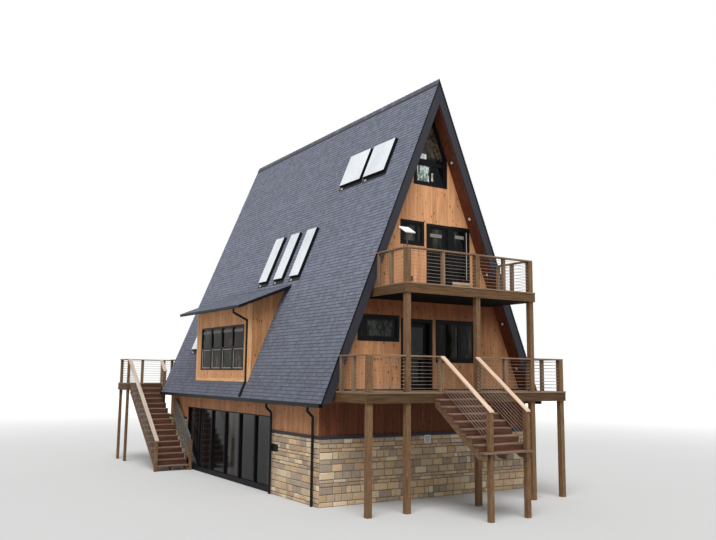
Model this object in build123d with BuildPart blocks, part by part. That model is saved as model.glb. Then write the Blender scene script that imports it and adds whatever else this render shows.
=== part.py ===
"""A-frame cabin on a sloping plot: steep roof over three floors and a walk-out basement,
with a front deck, a balcony, side dormers and two outside stairs.

Millimetres. X runs across the front (right when facing it), Y runs from the front gable to
the back, Z is up from the lowest ground. The origin is the centre of the walls' footprint.
"""
import os
from math import atan2, cos, hypot, radians, sin, tan

from build123d import *

os.makedirs("parts", exist_ok=True)

# Levels
front_grade = 1420
main_above_grade = 1520
storey = 2770
slab_thickness = 120
floor_thickness = 300
loft_thickness = 240
eave_level = 2615
ridge_level = 11980
main_level = front_grade + main_above_grade
upper_level = main_level + storey
loft_level = upper_level + storey

# Main roof
roof_length = 12280
eave_half = 3857
roof_thickness = 280
rake_overhang = 450
rake_board = 40
soffit_board = 12

# Walls
gable_wall = 160
basement_half = 3600
basement_wall = 200
veneer_height = 1700
veneer_thickness = 25
water_table_height = 80
water_table_proud = 40

# Windows and doors
casing_width = 70
casing_proud = 20
frame_depth = 90
sash_width = 55
mullion_width = 70
glass_thickness = 20
fit = 2
casing_lap = 12
butt_joint = 2

# Decks, posts and rails
deck_depth = 1895
board_thickness = 38
rim_height = 232
rim_width = 40
joist_pitch = 480
post = 140
rail_post = 92
rail_height = 920
cap_width = 140
cap_height = 38
cable_count = 9
cable_radius = 5
end_strip = 8
end_strip_width = 50
rake_gap = 20

# Roof geometry: outer and inner half widths at a level
slope = atan2(ridge_level - eave_level, eave_half)
roof_run = roof_thickness / sin(slope)
roof_drop = roof_thickness / cos(slope)
roof_half_length = roof_length / 2
front_face = -roof_half_length + rake_overhang
back_face = roof_half_length - rake_overhang
inner_ridge = ridge_level - roof_drop


def outer_x(level):
    """Half width of the roof's outer face at a level."""
    return (ridge_level - level) / tan(slope)


def inner_x(level):
    """Half width of the roof's inner face at a level."""
    return outer_x(level) - roof_run


def across(y):
    """Plane facing the front at y: its x is X and its y is Z. A negative extrusion goes back."""
    return Plane(origin=(0, y, 0), x_dir=(1, 0, 0), z_dir=(0, -1, 0))


def beside(x):
    """Plane facing +X at x: its x is Y and its y is Z."""
    return Plane(origin=(x, 0, 0), x_dir=(0, 1, 0), z_dir=(1, 0, 0))


def block(low, high, mode=Mode.ADD):
    """Box between two corners, added to the part that is being built."""
    middle = tuple((a + b) / 2 for a, b in zip(low, high))
    size = [b - a for a, b in zip(low, high)]
    with Locations(middle):
        Box(*size, mode=mode)


def outline(points, mode=Mode.ADD):
    """Closed face through points, added to the sketch that is being built."""
    Polygon(*points, mode=mode)


def save(builder, name):
    """Labels a finished sub-part and writes it."""
    builder.part.label = name
    export_step(builder.part, f"parts/{name}.step")


# Basement: floor slab and four walls, the left one open for the glazing
glazing_front = front_face + 2830
glazing_back = front_face + 9550
glazing_head = front_grade + 730
glazing_bays = 6

with BuildPart() as basement_slab:
    block((-basement_half + basement_wall, front_face + basement_wall, 0),
          (basement_half - basement_wall, back_face - basement_wall, slab_thickness))
save(basement_slab, "basement_slab")

with BuildPart() as basement_front_wall:
    with BuildSketch(across(front_face)):
        outline([(-basement_half, 0), (basement_half, 0), (basement_half, eave_level),
                 (inner_x(eave_level), eave_level), (inner_x(main_level), main_level),
                 (-inner_x(main_level), main_level), (-inner_x(eave_level), eave_level),
                 (-basement_half, eave_level)])
    extrude(amount=-basement_wall)
save(basement_front_wall, "basement_front_wall")

with BuildPart() as basement_back_wall:
    block((-basement_half, back_face - basement_wall, 0), (basement_half, back_face, eave_level))
save(basement_back_wall, "basement_back_wall")

side_start = front_face + basement_wall
side_end = back_face - basement_wall
side_window_width = 1100
side_window_height = 650
side_window_sill = 1860
side_window_places = [front_face + share * (back_face - front_face) for share in (0.25, 0.5, 0.75)]

with BuildPart() as basement_left_wall:
    block((-basement_half, side_start, 0), (-basement_half + basement_wall, side_end, eave_level))
    block((-basement_half, glazing_front, 0),
          (-basement_half + basement_wall, glazing_back, glazing_head), Mode.SUBTRACT)
save(basement_left_wall, "basement_left_wall")

with BuildPart() as basement_right_wall:
    block((basement_half - basement_wall, side_start, 0), (basement_half, side_end, eave_level))
    for y in side_window_places:
        block((basement_half - basement_wall, y - side_window_width / 2, side_window_sill),
              (basement_half, y + side_window_width / 2, side_window_sill + side_window_height),
              Mode.SUBTRACT)
save(basement_right_wall, "basement_right_wall")

# Stone facing on the lower walls, and the dark ledge that caps it
veneer_half = basement_half + veneer_thickness
veneer_runs = [
    ((-veneer_half, front_face - veneer_thickness), (veneer_half, front_face)),
    ((-veneer_half, back_face), (veneer_half, back_face + veneer_thickness)),
    ((-veneer_half, front_face + butt_joint), (-basement_half, glazing_front - casing_width)),
    ((-veneer_half, glazing_back + casing_width), (-basement_half, back_face - butt_joint)),
    ((basement_half, front_face + butt_joint), (veneer_half, back_face - butt_joint)),
]
ledge_extra = water_table_proud - veneer_thickness

with BuildPart() as stone_veneer:
    for (x0, y0), (x1, y1) in veneer_runs:
        block((x0, y0, 0), (x1, y1, veneer_height))
save(stone_veneer, "stone_veneer")

with BuildPart() as water_table:
    for (x0, y0), (x1, y1) in veneer_runs:
        west = ledge_extra if x0 < -basement_half else 0
        east = ledge_extra if x1 > basement_half else 0
        south = ledge_extra if y0 < front_face else 0
        north = ledge_extra if y1 > back_face else 0
        block((x0 - west, y0 - south, veneer_height),
              (x1 + east, y1 + north, veneer_height + water_table_height))
save(water_table, "water_table")

# Glazed side of the basement: a frame of bays with a glass sheet behind each
bay_frame = 80
bay_depth = 120
bay_pitch = (glazing_back - glazing_front) / glazing_bays

with BuildPart() as basement_glazing:
    with BuildSketch(beside(-basement_half + fit)):
        middle_y = (glazing_front + glazing_back) / 2
        middle_z = (glazing_head + slab_thickness) / 2
        with Locations((middle_y, glazing_head / 2)):
            Rectangle(glazing_back - glazing_front, glazing_head)
        with Locations((middle_y, middle_z)):
            with GridLocations(bay_pitch, 0, glazing_bays, 1):
                Rectangle(bay_pitch - bay_frame, glazing_head - slab_thickness - bay_frame,
                          mode=Mode.SUBTRACT)
    extrude(amount=bay_depth)
save(basement_glazing, "basement_glazing")

with BuildPart() as basement_glass:
    with BuildSketch(beside(-basement_half + bay_depth / 2)):
        with Locations((middle_y, middle_z)):
            with GridLocations(bay_pitch, 0, glazing_bays, 1):
                Rectangle(bay_pitch - bay_frame, glazing_head - slab_thickness - bay_frame)
    extrude(amount=glass_thickness)
    for y in side_window_places:
        block((basement_half - frame_depth - glass_thickness, y - side_window_width / 2 + fit,
               side_window_sill + fit),
              (basement_half - frame_depth, y + side_window_width / 2 - fit,
               side_window_sill + side_window_height - fit))
save(basement_glass, "basement_glass")

side_pane_pitch = (side_window_width - sash_width) / 2
with BuildPart() as basement_side_windows:
    for y in side_window_places:
        with BuildSketch(beside(basement_half + casing_proud)):
            with Locations((y, side_window_sill + side_window_height / 2)):
                Rectangle(side_window_width, side_window_height)
                with GridLocations(side_pane_pitch, 0, 2, 1):
                    Rectangle(side_pane_pitch - sash_width, side_window_height - 2 * sash_width,
                              mode=Mode.SUBTRACT)
        extrude(amount=-frame_depth - casing_proud)
save(basement_side_windows, "basement_side_windows")

# Floors between the roof's inner faces
floor_start = front_face + gable_wall
floor_end = back_face - gable_wall
floors = {
    "main_floor": (main_level, main_level - eave_level, front_face + basement_wall),
    "upper_floor": (upper_level, floor_thickness, floor_start),
    "loft_floor": (loft_level, loft_thickness, floor_start),
}
for name, (level, thickness, start) in floors.items():
    with BuildPart() as floor:
        with BuildSketch(across(start)):
            outline([(-inner_x(level - thickness), level - thickness),
                     (inner_x(level - thickness), level - thickness),
                     (inner_x(level), level), (-inner_x(level), level)])
        extrude(amount=-(floor_end - start))
    save(floor, name)

# Dormer outline, the same on both sides of the roof
dormer_front = 3660
dormer_wall = 120
dormer_start = -roof_half_length + 4870
dormer_end = dormer_start + 4280
dormer_overhang = 410
dormer_eave_x = 4200
dormer_eave_level = front_grade + 3990
dormer_roof_thickness = 80
dormer_slope = radians(22.3)
dormer_rise = tan(dormer_slope)
dormer_drop = dormer_roof_thickness / cos(dormer_slope)


def dormer_top(x):
    """Level of the dormer roof's top face at a distance from the ridge line."""
    return dormer_eave_level + (dormer_eave_x - x) * dormer_rise


def dormer_under(x):
    """Level of the dormer roof's underside at a distance from the ridge line."""
    return dormer_top(x) - dormer_drop


def roof_level(x):
    """Level of the main roof's outer face at a distance from the ridge line."""
    return ridge_level - x * tan(slope)


def where_roofs_meet(drop):
    """Distance from the ridge line where the main roof cuts the dormer's line at a drop."""
    return ((ridge_level - dormer_eave_level + drop - dormer_eave_x * dormer_rise)
            / (tan(slope) - dormer_rise))


dormer_eave_bottom = dormer_eave_level - dormer_drop
top_meets = where_roofs_meet(0)
under_meets = where_roofs_meet(dormer_drop)

# Skylights on the roof plane: place along the roof from its front end, width, and place up
# the slope from the eave, length
skylights = [
    (1160, 1140, 7240, 1150),
    (2480, 1190, 7240, 1150),
    (4120, 620, 4090, 1730),
    (5250, 620, 4090, 1730),
    (6380, 620, 4090, 1730),
    (10110, 620, 1690, 1150),
]
curb_height = 90
curb_width = 55
skylight_glass_rise = 15


def roof_plane(side):
    """Plane on the roof's outer face from the front corner of the eave: x back, y up the slope."""
    corner = (side * eave_half, -roof_half_length, eave_level)
    if side > 0:
        return Plane(origin=corner, x_dir=(0, 1, 0), z_dir=(sin(slope), 0, cos(slope)))
    return Plane(origin=corner, x_dir=(0, -1, 0), z_dir=(-sin(slope), 0, cos(slope)))


def roof_spots(side, shrink=0):
    """Centre and size of each skylight in the roof plane of a side."""
    for along, width, up, length in skylights:
        yield (side * (along + width / 2), up + length / 2), width - shrink, length - shrink


floor_edge_cover = 60
panel_seam = 0.5


# Main roof: sloping panels on each side, open under the skylights and inside the dormers, with
# seams in line with the dormer's cheeks and the main floor
def roof_section(side, thickness=roof_thickness, start=0, foot=eave_level, gap=0):
    """Corners of a sloping board as seen from the front, start mm below the roof's outer face."""
    outer_run, inner_run = start / sin(slope), (start + thickness) / sin(slope)
    x = side * gap
    return [(side * (outer_x(foot) - outer_run), foot), (x, ridge_level - (gap + outer_run) * tan(slope)),
            (x, ridge_level - (gap + inner_run) * tan(slope)), (side * (outer_x(foot) - inner_run), foot)]


for side, name in ((-1, "roof_left"), (1, "roof_right")):
    with BuildPart() as roof:
        with BuildSketch(across(-roof_half_length + rake_board)):
            outline(roof_section(side))
        extrude(amount=-(roof_length - 2 * rake_board))
        inside_start, inside_end = dormer_start + dormer_wall, dormer_end - dormer_wall
        low_x, high_x = sorted((0, side * (dormer_front - dormer_wall)))
        block((low_x, inside_start, main_level),
              (high_x, inside_end, upper_level - floor_edge_cover), Mode.SUBTRACT)
        low_x, high_x = sorted((0, side * eave_half))
        block((low_x, inside_start, main_level), (high_x, inside_end, main_level + panel_seam),
              Mode.SUBTRACT)
        for y in (inside_start - panel_seam, inside_end):
            block((low_x, y, eave_level), (high_x, y + panel_seam, ridge_level), Mode.SUBTRACT)
        with BuildSketch(roof_plane(side)):
            for centre, width, length in roof_spots(side, 2 * curb_width):
                with Locations(centre):
                    Rectangle(width, length)
        extrude(amount=-2 * roof_thickness, mode=Mode.SUBTRACT)
    save(roof, name)

# Ridge cap folded over both slopes
cap_leg = 220
cap_thickness = 12
with BuildPart() as ridge_cap:
    with BuildSketch(across(-roof_half_length)):
        leg_x, leg_z = cap_leg * cos(slope), cap_leg * sin(slope)
        rise = cap_thickness / cos(slope)
        outline([(0, ridge_level), (leg_x, ridge_level - leg_z), (leg_x, ridge_level - leg_z + rise),
                 (0, ridge_level + rise), (-leg_x, ridge_level - leg_z + rise),
                 (-leg_x, ridge_level - leg_z)])
    extrude(amount=-roof_length)
save(ridge_cap, "ridge_cap")

# Rake boards: an A-shaped pair on each gable
with BuildPart() as rake_boards:
    for y in (-roof_half_length, roof_half_length - rake_board):
        for side in (-1, 1):
            with BuildSketch(across(y)):
                outline(roof_section(side, gap=butt_joint / 2))
            extrude(amount=-rake_board)
save(rake_boards, "rake_boards")

# Soffit boards under the overhang of each gable
soffit_length = rake_overhang - rake_board
with BuildPart() as rake_soffits:
    for y in (-roof_half_length + rake_board, back_face):
        for side in (-1, 1):
            with BuildSketch(across(y)):
                outline(roof_section(side, soffit_board, roof_thickness, main_level, butt_joint / 2))
            extrude(amount=-soffit_length)
save(rake_soffits, "rake_soffits")

# Gutters under both eaves
gutter_width = 120
gutter_height = 95
gutter_wall = 12
gutter_outside = 63
with BuildPart() as gutters:
    for side in (-1, 1):
        with BuildSketch(across(-roof_half_length)):
            outer = side * (eave_half + gutter_outside)
            inner = outer - side * gutter_width
            bottom = eave_level - gutter_height
            wall = side * gutter_wall
            outline([(inner, eave_level), (inner, bottom), (outer, bottom), (outer, eave_level),
                     (outer - wall, eave_level), (outer - wall, bottom + gutter_wall),
                     (inner + wall, bottom + gutter_wall), (inner + wall, eave_level)])
        extrude(amount=-roof_length)
save(gutters, "gutters")

# Skylight curbs and panes
with BuildPart() as skylight_frames:
    for side in (-1, 1):
        with BuildSketch(roof_plane(side)):
            for centre, width, length in roof_spots(side):
                with Locations(centre):
                    Rectangle(width, length)
                    Rectangle(width - 2 * curb_width, length - 2 * curb_width, mode=Mode.SUBTRACT)
        extrude(amount=curb_height)
save(skylight_frames, "skylight_frames")

with BuildPart() as skylight_glass:
    for side in (-1, 1):
        with BuildSketch(roof_plane(side).offset(curb_height - glass_thickness - skylight_glass_rise)):
            for centre, width, length in roof_spots(side, 2 * curb_width):
                with Locations(centre):
                    Rectangle(width, length)
        extrude(amount=glass_thickness)
save(skylight_glass, "skylight_glass")

# Dormers: roof, front wall with a window opening, two cheeks
dormer_window_start = -roof_half_length + 5190
dormer_window_width = 3560
dormer_window_sill = front_grade + 2040
dormer_window_head = front_grade + 3470
dormer_units = 4

with BuildPart() as dormer_roofs:
    for side in (-1, 1):
        with BuildSketch(across(dormer_start - dormer_overhang)):
            outline([(side * dormer_eave_x, dormer_eave_level), (side * top_meets, dormer_top(top_meets)),
                     (side * under_meets, dormer_under(under_meets)),
                     (side * dormer_eave_x, dormer_eave_bottom)])
        extrude(amount=-(dormer_end - dormer_start + 2 * dormer_overhang))
save(dormer_roofs, "dormer_roofs")

with BuildPart() as dormer_front_walls:
    for side in (-1, 1):
        back_x = dormer_front - dormer_wall
        with BuildSketch(across(dormer_start)):
            outline([(side * dormer_front, roof_level(dormer_front)),
                     (side * dormer_front, dormer_under(dormer_front)),
                     (side * back_x, dormer_under(back_x)), (side * back_x, roof_level(back_x))])
        extrude(amount=-(dormer_end - dormer_start))
        low_x, high_x = sorted((side * dormer_front, side * back_x))
        block((low_x, dormer_window_start, dormer_window_sill),
              (high_x, dormer_window_start + dormer_window_width, dormer_window_head), Mode.SUBTRACT)
save(dormer_front_walls, "dormer_front_walls")

with BuildPart() as dormer_cheeks:
    for side in (-1, 1):
        for y in (dormer_start, dormer_end - dormer_wall):
            with BuildSketch(across(y)):
                outline([(side * back_x, roof_level(back_x)), (side * back_x, dormer_under(back_x)),
                         (side * under_meets, dormer_under(under_meets))])
            extrude(amount=-dormer_wall)
save(dormer_cheeks, "dormer_cheeks")

unit_pitch = dormer_window_width / dormer_units
meeting_rail = 60
unit_height = dormer_window_head - dormer_window_sill
light_height = (unit_height - 2 * sash_width - meeting_rail) / 2

with BuildPart() as dormer_windows:
    for side in (-1, 1):
        with BuildSketch(beside(side * (dormer_front + casing_proud))):
            with Locations((dormer_window_start + dormer_window_width / 2,
                            (dormer_window_sill + dormer_window_head) / 2)):
                Rectangle(dormer_window_width, unit_height)
                with GridLocations(unit_pitch, light_height + meeting_rail, dormer_units, 2):
                    Rectangle(unit_pitch - 2 * sash_width, light_height, mode=Mode.SUBTRACT)
        extrude(amount=-side * (frame_depth + casing_proud))
save(dormer_windows, "dormer_windows")

with BuildPart() as dormer_glass:
    for side in (-1, 1):
        with BuildSketch(beside(side * (dormer_front - frame_depth / 2))):
            with Locations((dormer_window_start + dormer_window_width / 2,
                            (dormer_window_sill + dormer_window_head) / 2)):
                with GridLocations(unit_pitch, light_height + meeting_rail, dormer_units, 2):
                    Rectangle(unit_pitch - 2 * sash_width, light_height)
        extrude(amount=-side * glass_thickness)
save(dormer_glass, "dormer_glass")

# Openings of the front gable: left, right, bottom and top outside the casing
door_unit = (-1060, 50, main_level, front_grade + 3520)
left_window = (-2500, -1120, front_grade + 2850, front_grade + 3580)
right_window = (170, 1690, front_grade + 2300, front_grade + 3530)
upper_window = (-1090, -240, front_grade + 5630, front_grade + 6350)
balcony_door_left = (-160, 720, upper_level, front_grade + 6320)
balcony_door_right = (770, 1400, upper_level, front_grade + 6330)
attic_window_half = 615
attic_sill = front_grade + 7440
attic_rail = front_grade + 8050
attic_rail_height = 120
wall_split = front_grade + 3640


def hole(unit):
    """Opening in the wall for a unit: inside its casing, down to the floor for a door."""
    left, right, bottom, top = unit
    if bottom not in (main_level, upper_level):
        bottom += casing_width
    return left + casing_width, right - casing_width, bottom, top - casing_width


def cut_hole(unit, face, depth):
    """Cuts a unit's opening through a wall whose front face is at y = face."""
    left, right, bottom, top = hole(unit)
    block((left, face, bottom), (right, face + depth, top), Mode.SUBTRACT)


def gable_corners(low, high):
    """Corners of a gable wall between two levels, up to the inner ridge where high is None."""
    base = [(-inner_x(low), low), (inner_x(low), low)]
    if high is None:
        return base + [(0, inner_ridge)]
    return base + [(inner_x(high), high), (-inner_x(high), high)]


attic_slope_gap = 16
attic_top = inner_ridge - attic_slope_gap / cos(slope)


def attic_outline(inset):
    """Corners of the attic window, drawn in by an inset all round."""
    half = attic_window_half - inset
    shoulder = attic_top - (half + inset / sin(slope)) * tan(slope)
    return [(-half, attic_sill + inset), (half, attic_sill + inset), (half, shoulder),
            (0, attic_top - inset / cos(slope)), (-half, shoulder)]


door_left, door_right, door_bottom, door_head = hole(door_unit)

with BuildPart() as front_wall_left:
    with BuildSketch(across(front_face)):
        outline([(-inner_x(main_level), main_level), (door_left, main_level), (door_left, wall_split),
                 (-inner_x(wall_split), wall_split)])
    extrude(amount=-gable_wall)
    cut_hole(left_window, front_face, gable_wall)
save(front_wall_left, "front_wall_left")

with BuildPart() as front_wall_right:
    with BuildSketch(across(front_face)):
        outline([(door_right, main_level), (inner_x(main_level), main_level),
                 (inner_x(wall_split), wall_split), (door_right, wall_split)])
    extrude(amount=-gable_wall)
    cut_hole(right_window, front_face, gable_wall)
save(front_wall_right, "front_wall_right")

with BuildPart() as front_gable_wall:
    with BuildSketch(across(front_face)):
        outline(gable_corners(wall_split, None))
        with Locations(((door_left + door_right) / 2, (door_head + wall_split) / 2)):
            Rectangle(door_right - door_left, wall_split - door_head)
        outline(attic_outline(casing_width), Mode.SUBTRACT)
    extrude(amount=-gable_wall)
    for unit in (upper_window, balcony_door_left, balcony_door_right):
        cut_hole(unit, front_face, gable_wall)
save(front_gable_wall, "front_gable_wall")

# Back gable: one wall with plain windows and fixed glazed doors on the same storeys
back_units = [
    (-2500, -1120, front_grade + 2850, front_grade + 3580),
    (1120, 2500, front_grade + 2850, front_grade + 3580),
    (-900, -30, main_level, front_grade + 3520),
    (30, 900, main_level, front_grade + 3520),
    (-1200, -60, front_grade + 5200, front_grade + 6350),
    (60, 1200, front_grade + 5200, front_grade + 6350),
]
with BuildPart() as back_gable_wall:
    with BuildSketch(across(back_face - gable_wall)):
        outline(gable_corners(eave_level, None))
        outline(attic_outline(casing_width), Mode.SUBTRACT)
    extrude(amount=-gable_wall)
    for unit in back_units:
        cut_hole(unit, back_face - gable_wall, gable_wall)
save(back_gable_wall, "back_gable_wall")


# Window and door frames: a casing on the wall's face that laps a frame in the opening, with bars
def ring(outer, inner, face, depth):
    """Flat frame between two rectangles (left, right, bottom, top), depth mm towards the front."""
    with BuildSketch(across(face)) as face_sketch:
        for (left, right, bottom, top), mode in ((outer, Mode.ADD), (inner, Mode.SUBTRACT)):
            with Locations(((left + right) / 2, (bottom + top) / 2)):
                Rectangle(right - left, top - bottom, mode=mode)
    extrude(face_sketch.sketch, amount=depth)


def shrink(rectangle, margin, keep_bottom=False):
    """Rectangle drawn in by a margin, on its bottom too unless that is kept."""
    left, right, bottom, top = rectangle
    return left + margin, right - margin, bottom if keep_bottom else bottom + margin, top - margin


def unit_frame(unit, face, outward, bars=()):
    """Casing, frame and upright bars of a unit on a wall face; outward is -1 at the front."""
    opening = hole(unit)
    on_floor = opening[2] == unit[2]
    ring(unit, shrink(opening, casing_lap, on_floor), face, -outward * casing_proud)
    frame = shrink(opening, fit, on_floor)
    pane = shrink(frame, sash_width)
    ring(frame, pane, face, outward * frame_depth)
    for bar in bars:
        low_y, high_y = sorted((face, face - outward * frame_depth))
        block((bar - mullion_width / 2, low_y, pane[2]), (bar + mullion_width / 2, high_y, pane[3]))


def unit_glass(unit, face, outward):
    """One sheet of glass behind the frame's bars."""
    opening = hole(unit)
    left, right, bottom, top = shrink(opening, fit, opening[2] == unit[2])
    with BuildSketch(across(face - outward * frame_depth)) as face_sketch:
        with Locations(((left + right) / 2, (bottom + top) / 2)):
            Rectangle(right - left, top - bottom)
    extrude(face_sketch.sketch, amount=outward * glass_thickness)


def attic_frame(face, outward):
    """Casing and frame of the attic window, with its wide rail and one upright bar."""
    with BuildSketch(across(face)) as face_sketch:
        outline(attic_outline(0))
        outline(attic_outline(casing_width + casing_lap), Mode.SUBTRACT)
    extrude(face_sketch.sketch, amount=-outward * casing_proud)
    frame_half = attic_window_half - casing_width - fit
    frame_sill = attic_sill + casing_width + fit
    with BuildSketch(across(face)) as face_sketch:
        outline(attic_outline(casing_width + fit))
        outline(attic_outline(casing_width + sash_width), Mode.SUBTRACT)
        with Locations((0, attic_rail + attic_rail_height / 2)):
            Rectangle(2 * frame_half, attic_rail_height)
        with Locations((0, (frame_sill + attic_rail) / 2)):
            Rectangle(mullion_width, attic_rail - frame_sill)
    extrude(face_sketch.sketch, amount=outward * frame_depth)


def attic_glass(face, outward):
    """Sheet of glass behind the attic window's frame."""
    with BuildSketch(across(face - outward * frame_depth)) as face_sketch:
        outline(attic_outline(casing_width + fit))
    extrude(face_sketch.sketch, amount=outward * glass_thickness)


right_window_bar = 1030
upper_window_bar = -480
with BuildPart() as front_windows:
    unit_frame(left_window, front_face, -1)
    unit_frame(right_window, front_face, -1, (right_window_bar,))
    unit_frame(upper_window, front_face, -1, (upper_window_bar,))
    attic_frame(front_face, -1)
save(front_windows, "front_windows")

with BuildPart() as balcony_doors:
    unit_frame(balcony_door_left, front_face, -1)
    unit_frame(balcony_door_right, front_face, -1)
save(balcony_doors, "balcony_doors")

with BuildPart() as front_glass:
    for unit in (left_window, right_window, upper_window, balcony_door_left, balcony_door_right):
        unit_glass(unit, front_face, -1)
    attic_glass(front_face, -1)
save(front_glass, "front_glass")

with BuildPart() as back_windows:
    for unit in back_units:
        unit_frame(unit, back_face, 1)
    attic_frame(back_face, 1)
save(back_windows, "back_windows")

with BuildPart() as back_glass:
    for unit in back_units:
        unit_glass(unit, back_face, 1)
    attic_glass(back_face, 1)
save(back_glass, "back_glass")

# Entrance door: casing and jambs, and a glazed leaf hinged at its left edge
jamb = 35
door_gap = 8
leaf_thickness = 45
leaf_stile = 115
leaf_bottom_rail = 180
sill_height = 20

with BuildPart() as door_frame:
    left, right, bottom, top = door_unit
    with BuildSketch(across(front_face)):
        outline([(left, bottom), (door_left, bottom), (door_left, door_head), (door_right, door_head),
                 (door_right, bottom), (right, bottom), (right, top), (left, top)])
    extrude(amount=casing_proud)
    with BuildSketch(across(front_face)):
        outline([(door_left, bottom), (door_left + jamb, bottom), (door_left + jamb, door_head - jamb),
                 (door_right - jamb, door_head - jamb), (door_right - jamb, bottom), (door_right, bottom),
                 (door_right, door_head), (door_left, door_head)])
    extrude(amount=-gable_wall)
    block((door_left + jamb, front_face, bottom),
          (door_right - jamb, front_face + gable_wall, bottom + sill_height))
save(door_frame, "door_frame")

leaf_left = door_left + jamb + door_gap
leaf_right = door_right - jamb - door_gap
leaf_bottom = main_level + sill_height + door_gap
leaf_top = door_head - jamb - door_gap
leaf_inner_face = front_face + gable_wall
leaf_outer_face = leaf_inner_face - leaf_thickness

leaf_pane = (leaf_left + leaf_stile, leaf_right - leaf_stile,
             leaf_bottom + leaf_bottom_rail, leaf_top - leaf_stile)
with BuildPart() as door_leaf:
    ring((leaf_left, leaf_right, leaf_bottom, leaf_top), leaf_pane, leaf_inner_face, leaf_thickness)
save(door_leaf, "door_leaf")

pane_cover = (leaf_thickness - glass_thickness) / 2
with BuildPart() as door_glass:
    left, right, bottom, top = leaf_pane
    block((left, leaf_outer_face + pane_cover, bottom), (right, leaf_inner_face - pane_cover, top))
save(door_glass, "door_glass")

# Three butt hinges on the inner face: fixed end knuckles with a pin, a moving middle knuckle
hinge_height = 105
hinge_plate = 3
hinge_reach = 32
knuckle_radius = 9
pin_radius = 5
running_gap = 0.05
knuckle_gap = 1
knuckle_height = (hinge_height - 2 * knuckle_gap) / 3
hinge_x = leaf_left - door_gap / 2
hinge_y = leaf_inner_face + knuckle_radius
hinge_inset = 180
hinge_levels = [leaf_bottom + hinge_inset, (leaf_bottom + leaf_top - hinge_height) / 2,
                leaf_top - hinge_inset - hinge_height]
middle_start = knuckle_height + knuckle_gap


def hinge_half(level, outward, starts):
    """Plate on the inner face to one side of the hinge line, with knuckles at the given heights."""
    near, far = outward * (knuckle_radius + knuckle_gap), outward * hinge_reach
    low_x, high_x = sorted((hinge_x + near, hinge_x + far))
    block((low_x, leaf_inner_face, level), (high_x, leaf_inner_face + hinge_plate, level + hinge_height))
    for start in starts:
        low_x, high_x = sorted((hinge_x, hinge_x + near))
        block((low_x, leaf_inner_face, level + start),
              (high_x, leaf_inner_face + hinge_plate, level + start + knuckle_height))
        with Locations((hinge_x, hinge_y, level + start + knuckle_height / 2)):
            Cylinder(knuckle_radius, knuckle_height)


with BuildPart() as hinge_pins:
    for level in hinge_levels:
        hinge_half(level, -1, (0, 2 * middle_start))
        with Locations((hinge_x, hinge_y, level + hinge_height / 2)):
            Cylinder(pin_radius, hinge_height)
save(hinge_pins, "hinge_pins")

with BuildPart() as hinge_knuckles:
    for level in hinge_levels:
        hinge_half(level, 1, (middle_start,))
        with Locations((hinge_x, hinge_y, level + hinge_height / 2)):
            Cylinder(pin_radius + running_gap, hinge_height, mode=Mode.SUBTRACT)
save(hinge_knuckles, "hinge_knuckles")

handle_height = 1000
handle_radius = 10
handle_reach = 45
handle_length = 120
with BuildPart() as door_handle:
    for face, outward in ((leaf_outer_face, -1), (leaf_inner_face, 1)):
        handle_x = leaf_right - leaf_stile / 2
        handle_z = main_level + handle_height
        with BuildSketch(across(face)):
            with Locations((handle_x, handle_z)):
                Circle(2 * handle_radius)
        extrude(amount=-outward * handle_radius)
        with BuildSketch(across(face + outward * handle_radius)):
            with Locations((handle_x, handle_z)):
                Circle(handle_radius)
        extrude(amount=-outward * handle_reach)
        end = face + outward * (handle_radius + handle_reach)
        with BuildSketch(beside(handle_x - handle_length)):
            with Locations((end, handle_z)):
                Circle(handle_radius)
        extrude(amount=handle_length + handle_radius)
save(door_handle, "door_handle")

# Decks: boards on a rim and joists, notched around their posts
deck_front = front_face - deck_depth
deck_half = inner_x(main_level) - rake_gap
balcony_half = inner_x(upper_level) - rake_gap
post_y = deck_front + rim_width
balcony_post_x = [-balcony_half + rim_width, 100, balcony_half - rim_width - post]
deck_post_x = [-deck_half + rim_width, balcony_post_x[0], balcony_post_x[2], deck_half - rim_width - post]
back_deck_depth = 2200
back_deck_end = back_face + back_deck_depth
landing_start = roof_half_length + 610
back_stair_left = -4950
back_stair_right = -3720


def platform(areas, level, posts, size=post):
    """Boards, rim and joists over rectangles (x0, y0, x1, y1), notched for posts at (x, y)."""
    bottom = level - board_thickness - rim_height
    for x0, y0, x1, y1 in areas:
        block((x0, y0, level - board_thickness), (x1, y1, level))
        block((x0, y0, bottom), (x1, y1, level - board_thickness))
        inside = x1 - x0 - 2 * rim_width
        bays = max(1, round(inside / joist_pitch))
        bay = inside / bays
        for index in range(bays):
            start = x0 + rim_width + index * bay
            block((start + rim_width / 2, y0 + rim_width, bottom),
                  (start + bay - rim_width / 2, y1 - rim_width, level - board_thickness), Mode.SUBTRACT)
    for x, y in posts:
        block((x, y, bottom), (x + size, y + size, level), Mode.SUBTRACT)


front_posts = [(x, post_y) for x in deck_post_x] + [(balcony_post_x[1], post_y)]
with BuildPart() as front_deck:
    platform([(-deck_half, deck_front, deck_half, front_face)], main_level, front_posts)
save(front_deck, "front_deck")

balcony_posts = [(x, post_y) for x in balcony_post_x]
with BuildPart() as balcony:
    platform([(-balcony_half, deck_front, balcony_half, front_face)], upper_level, balcony_posts)
save(balcony, "balcony")

back_post_y = back_deck_end - rim_width - post
back_posts = [(x, back_post_y) for x in (-deck_half + rim_width, -post / 2, deck_half - rim_width - post)]
with BuildPart() as back_deck:
    platform([(-deck_half, back_face, deck_half, back_deck_end)], main_level, back_posts)
save(back_deck, "back_deck")

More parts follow.
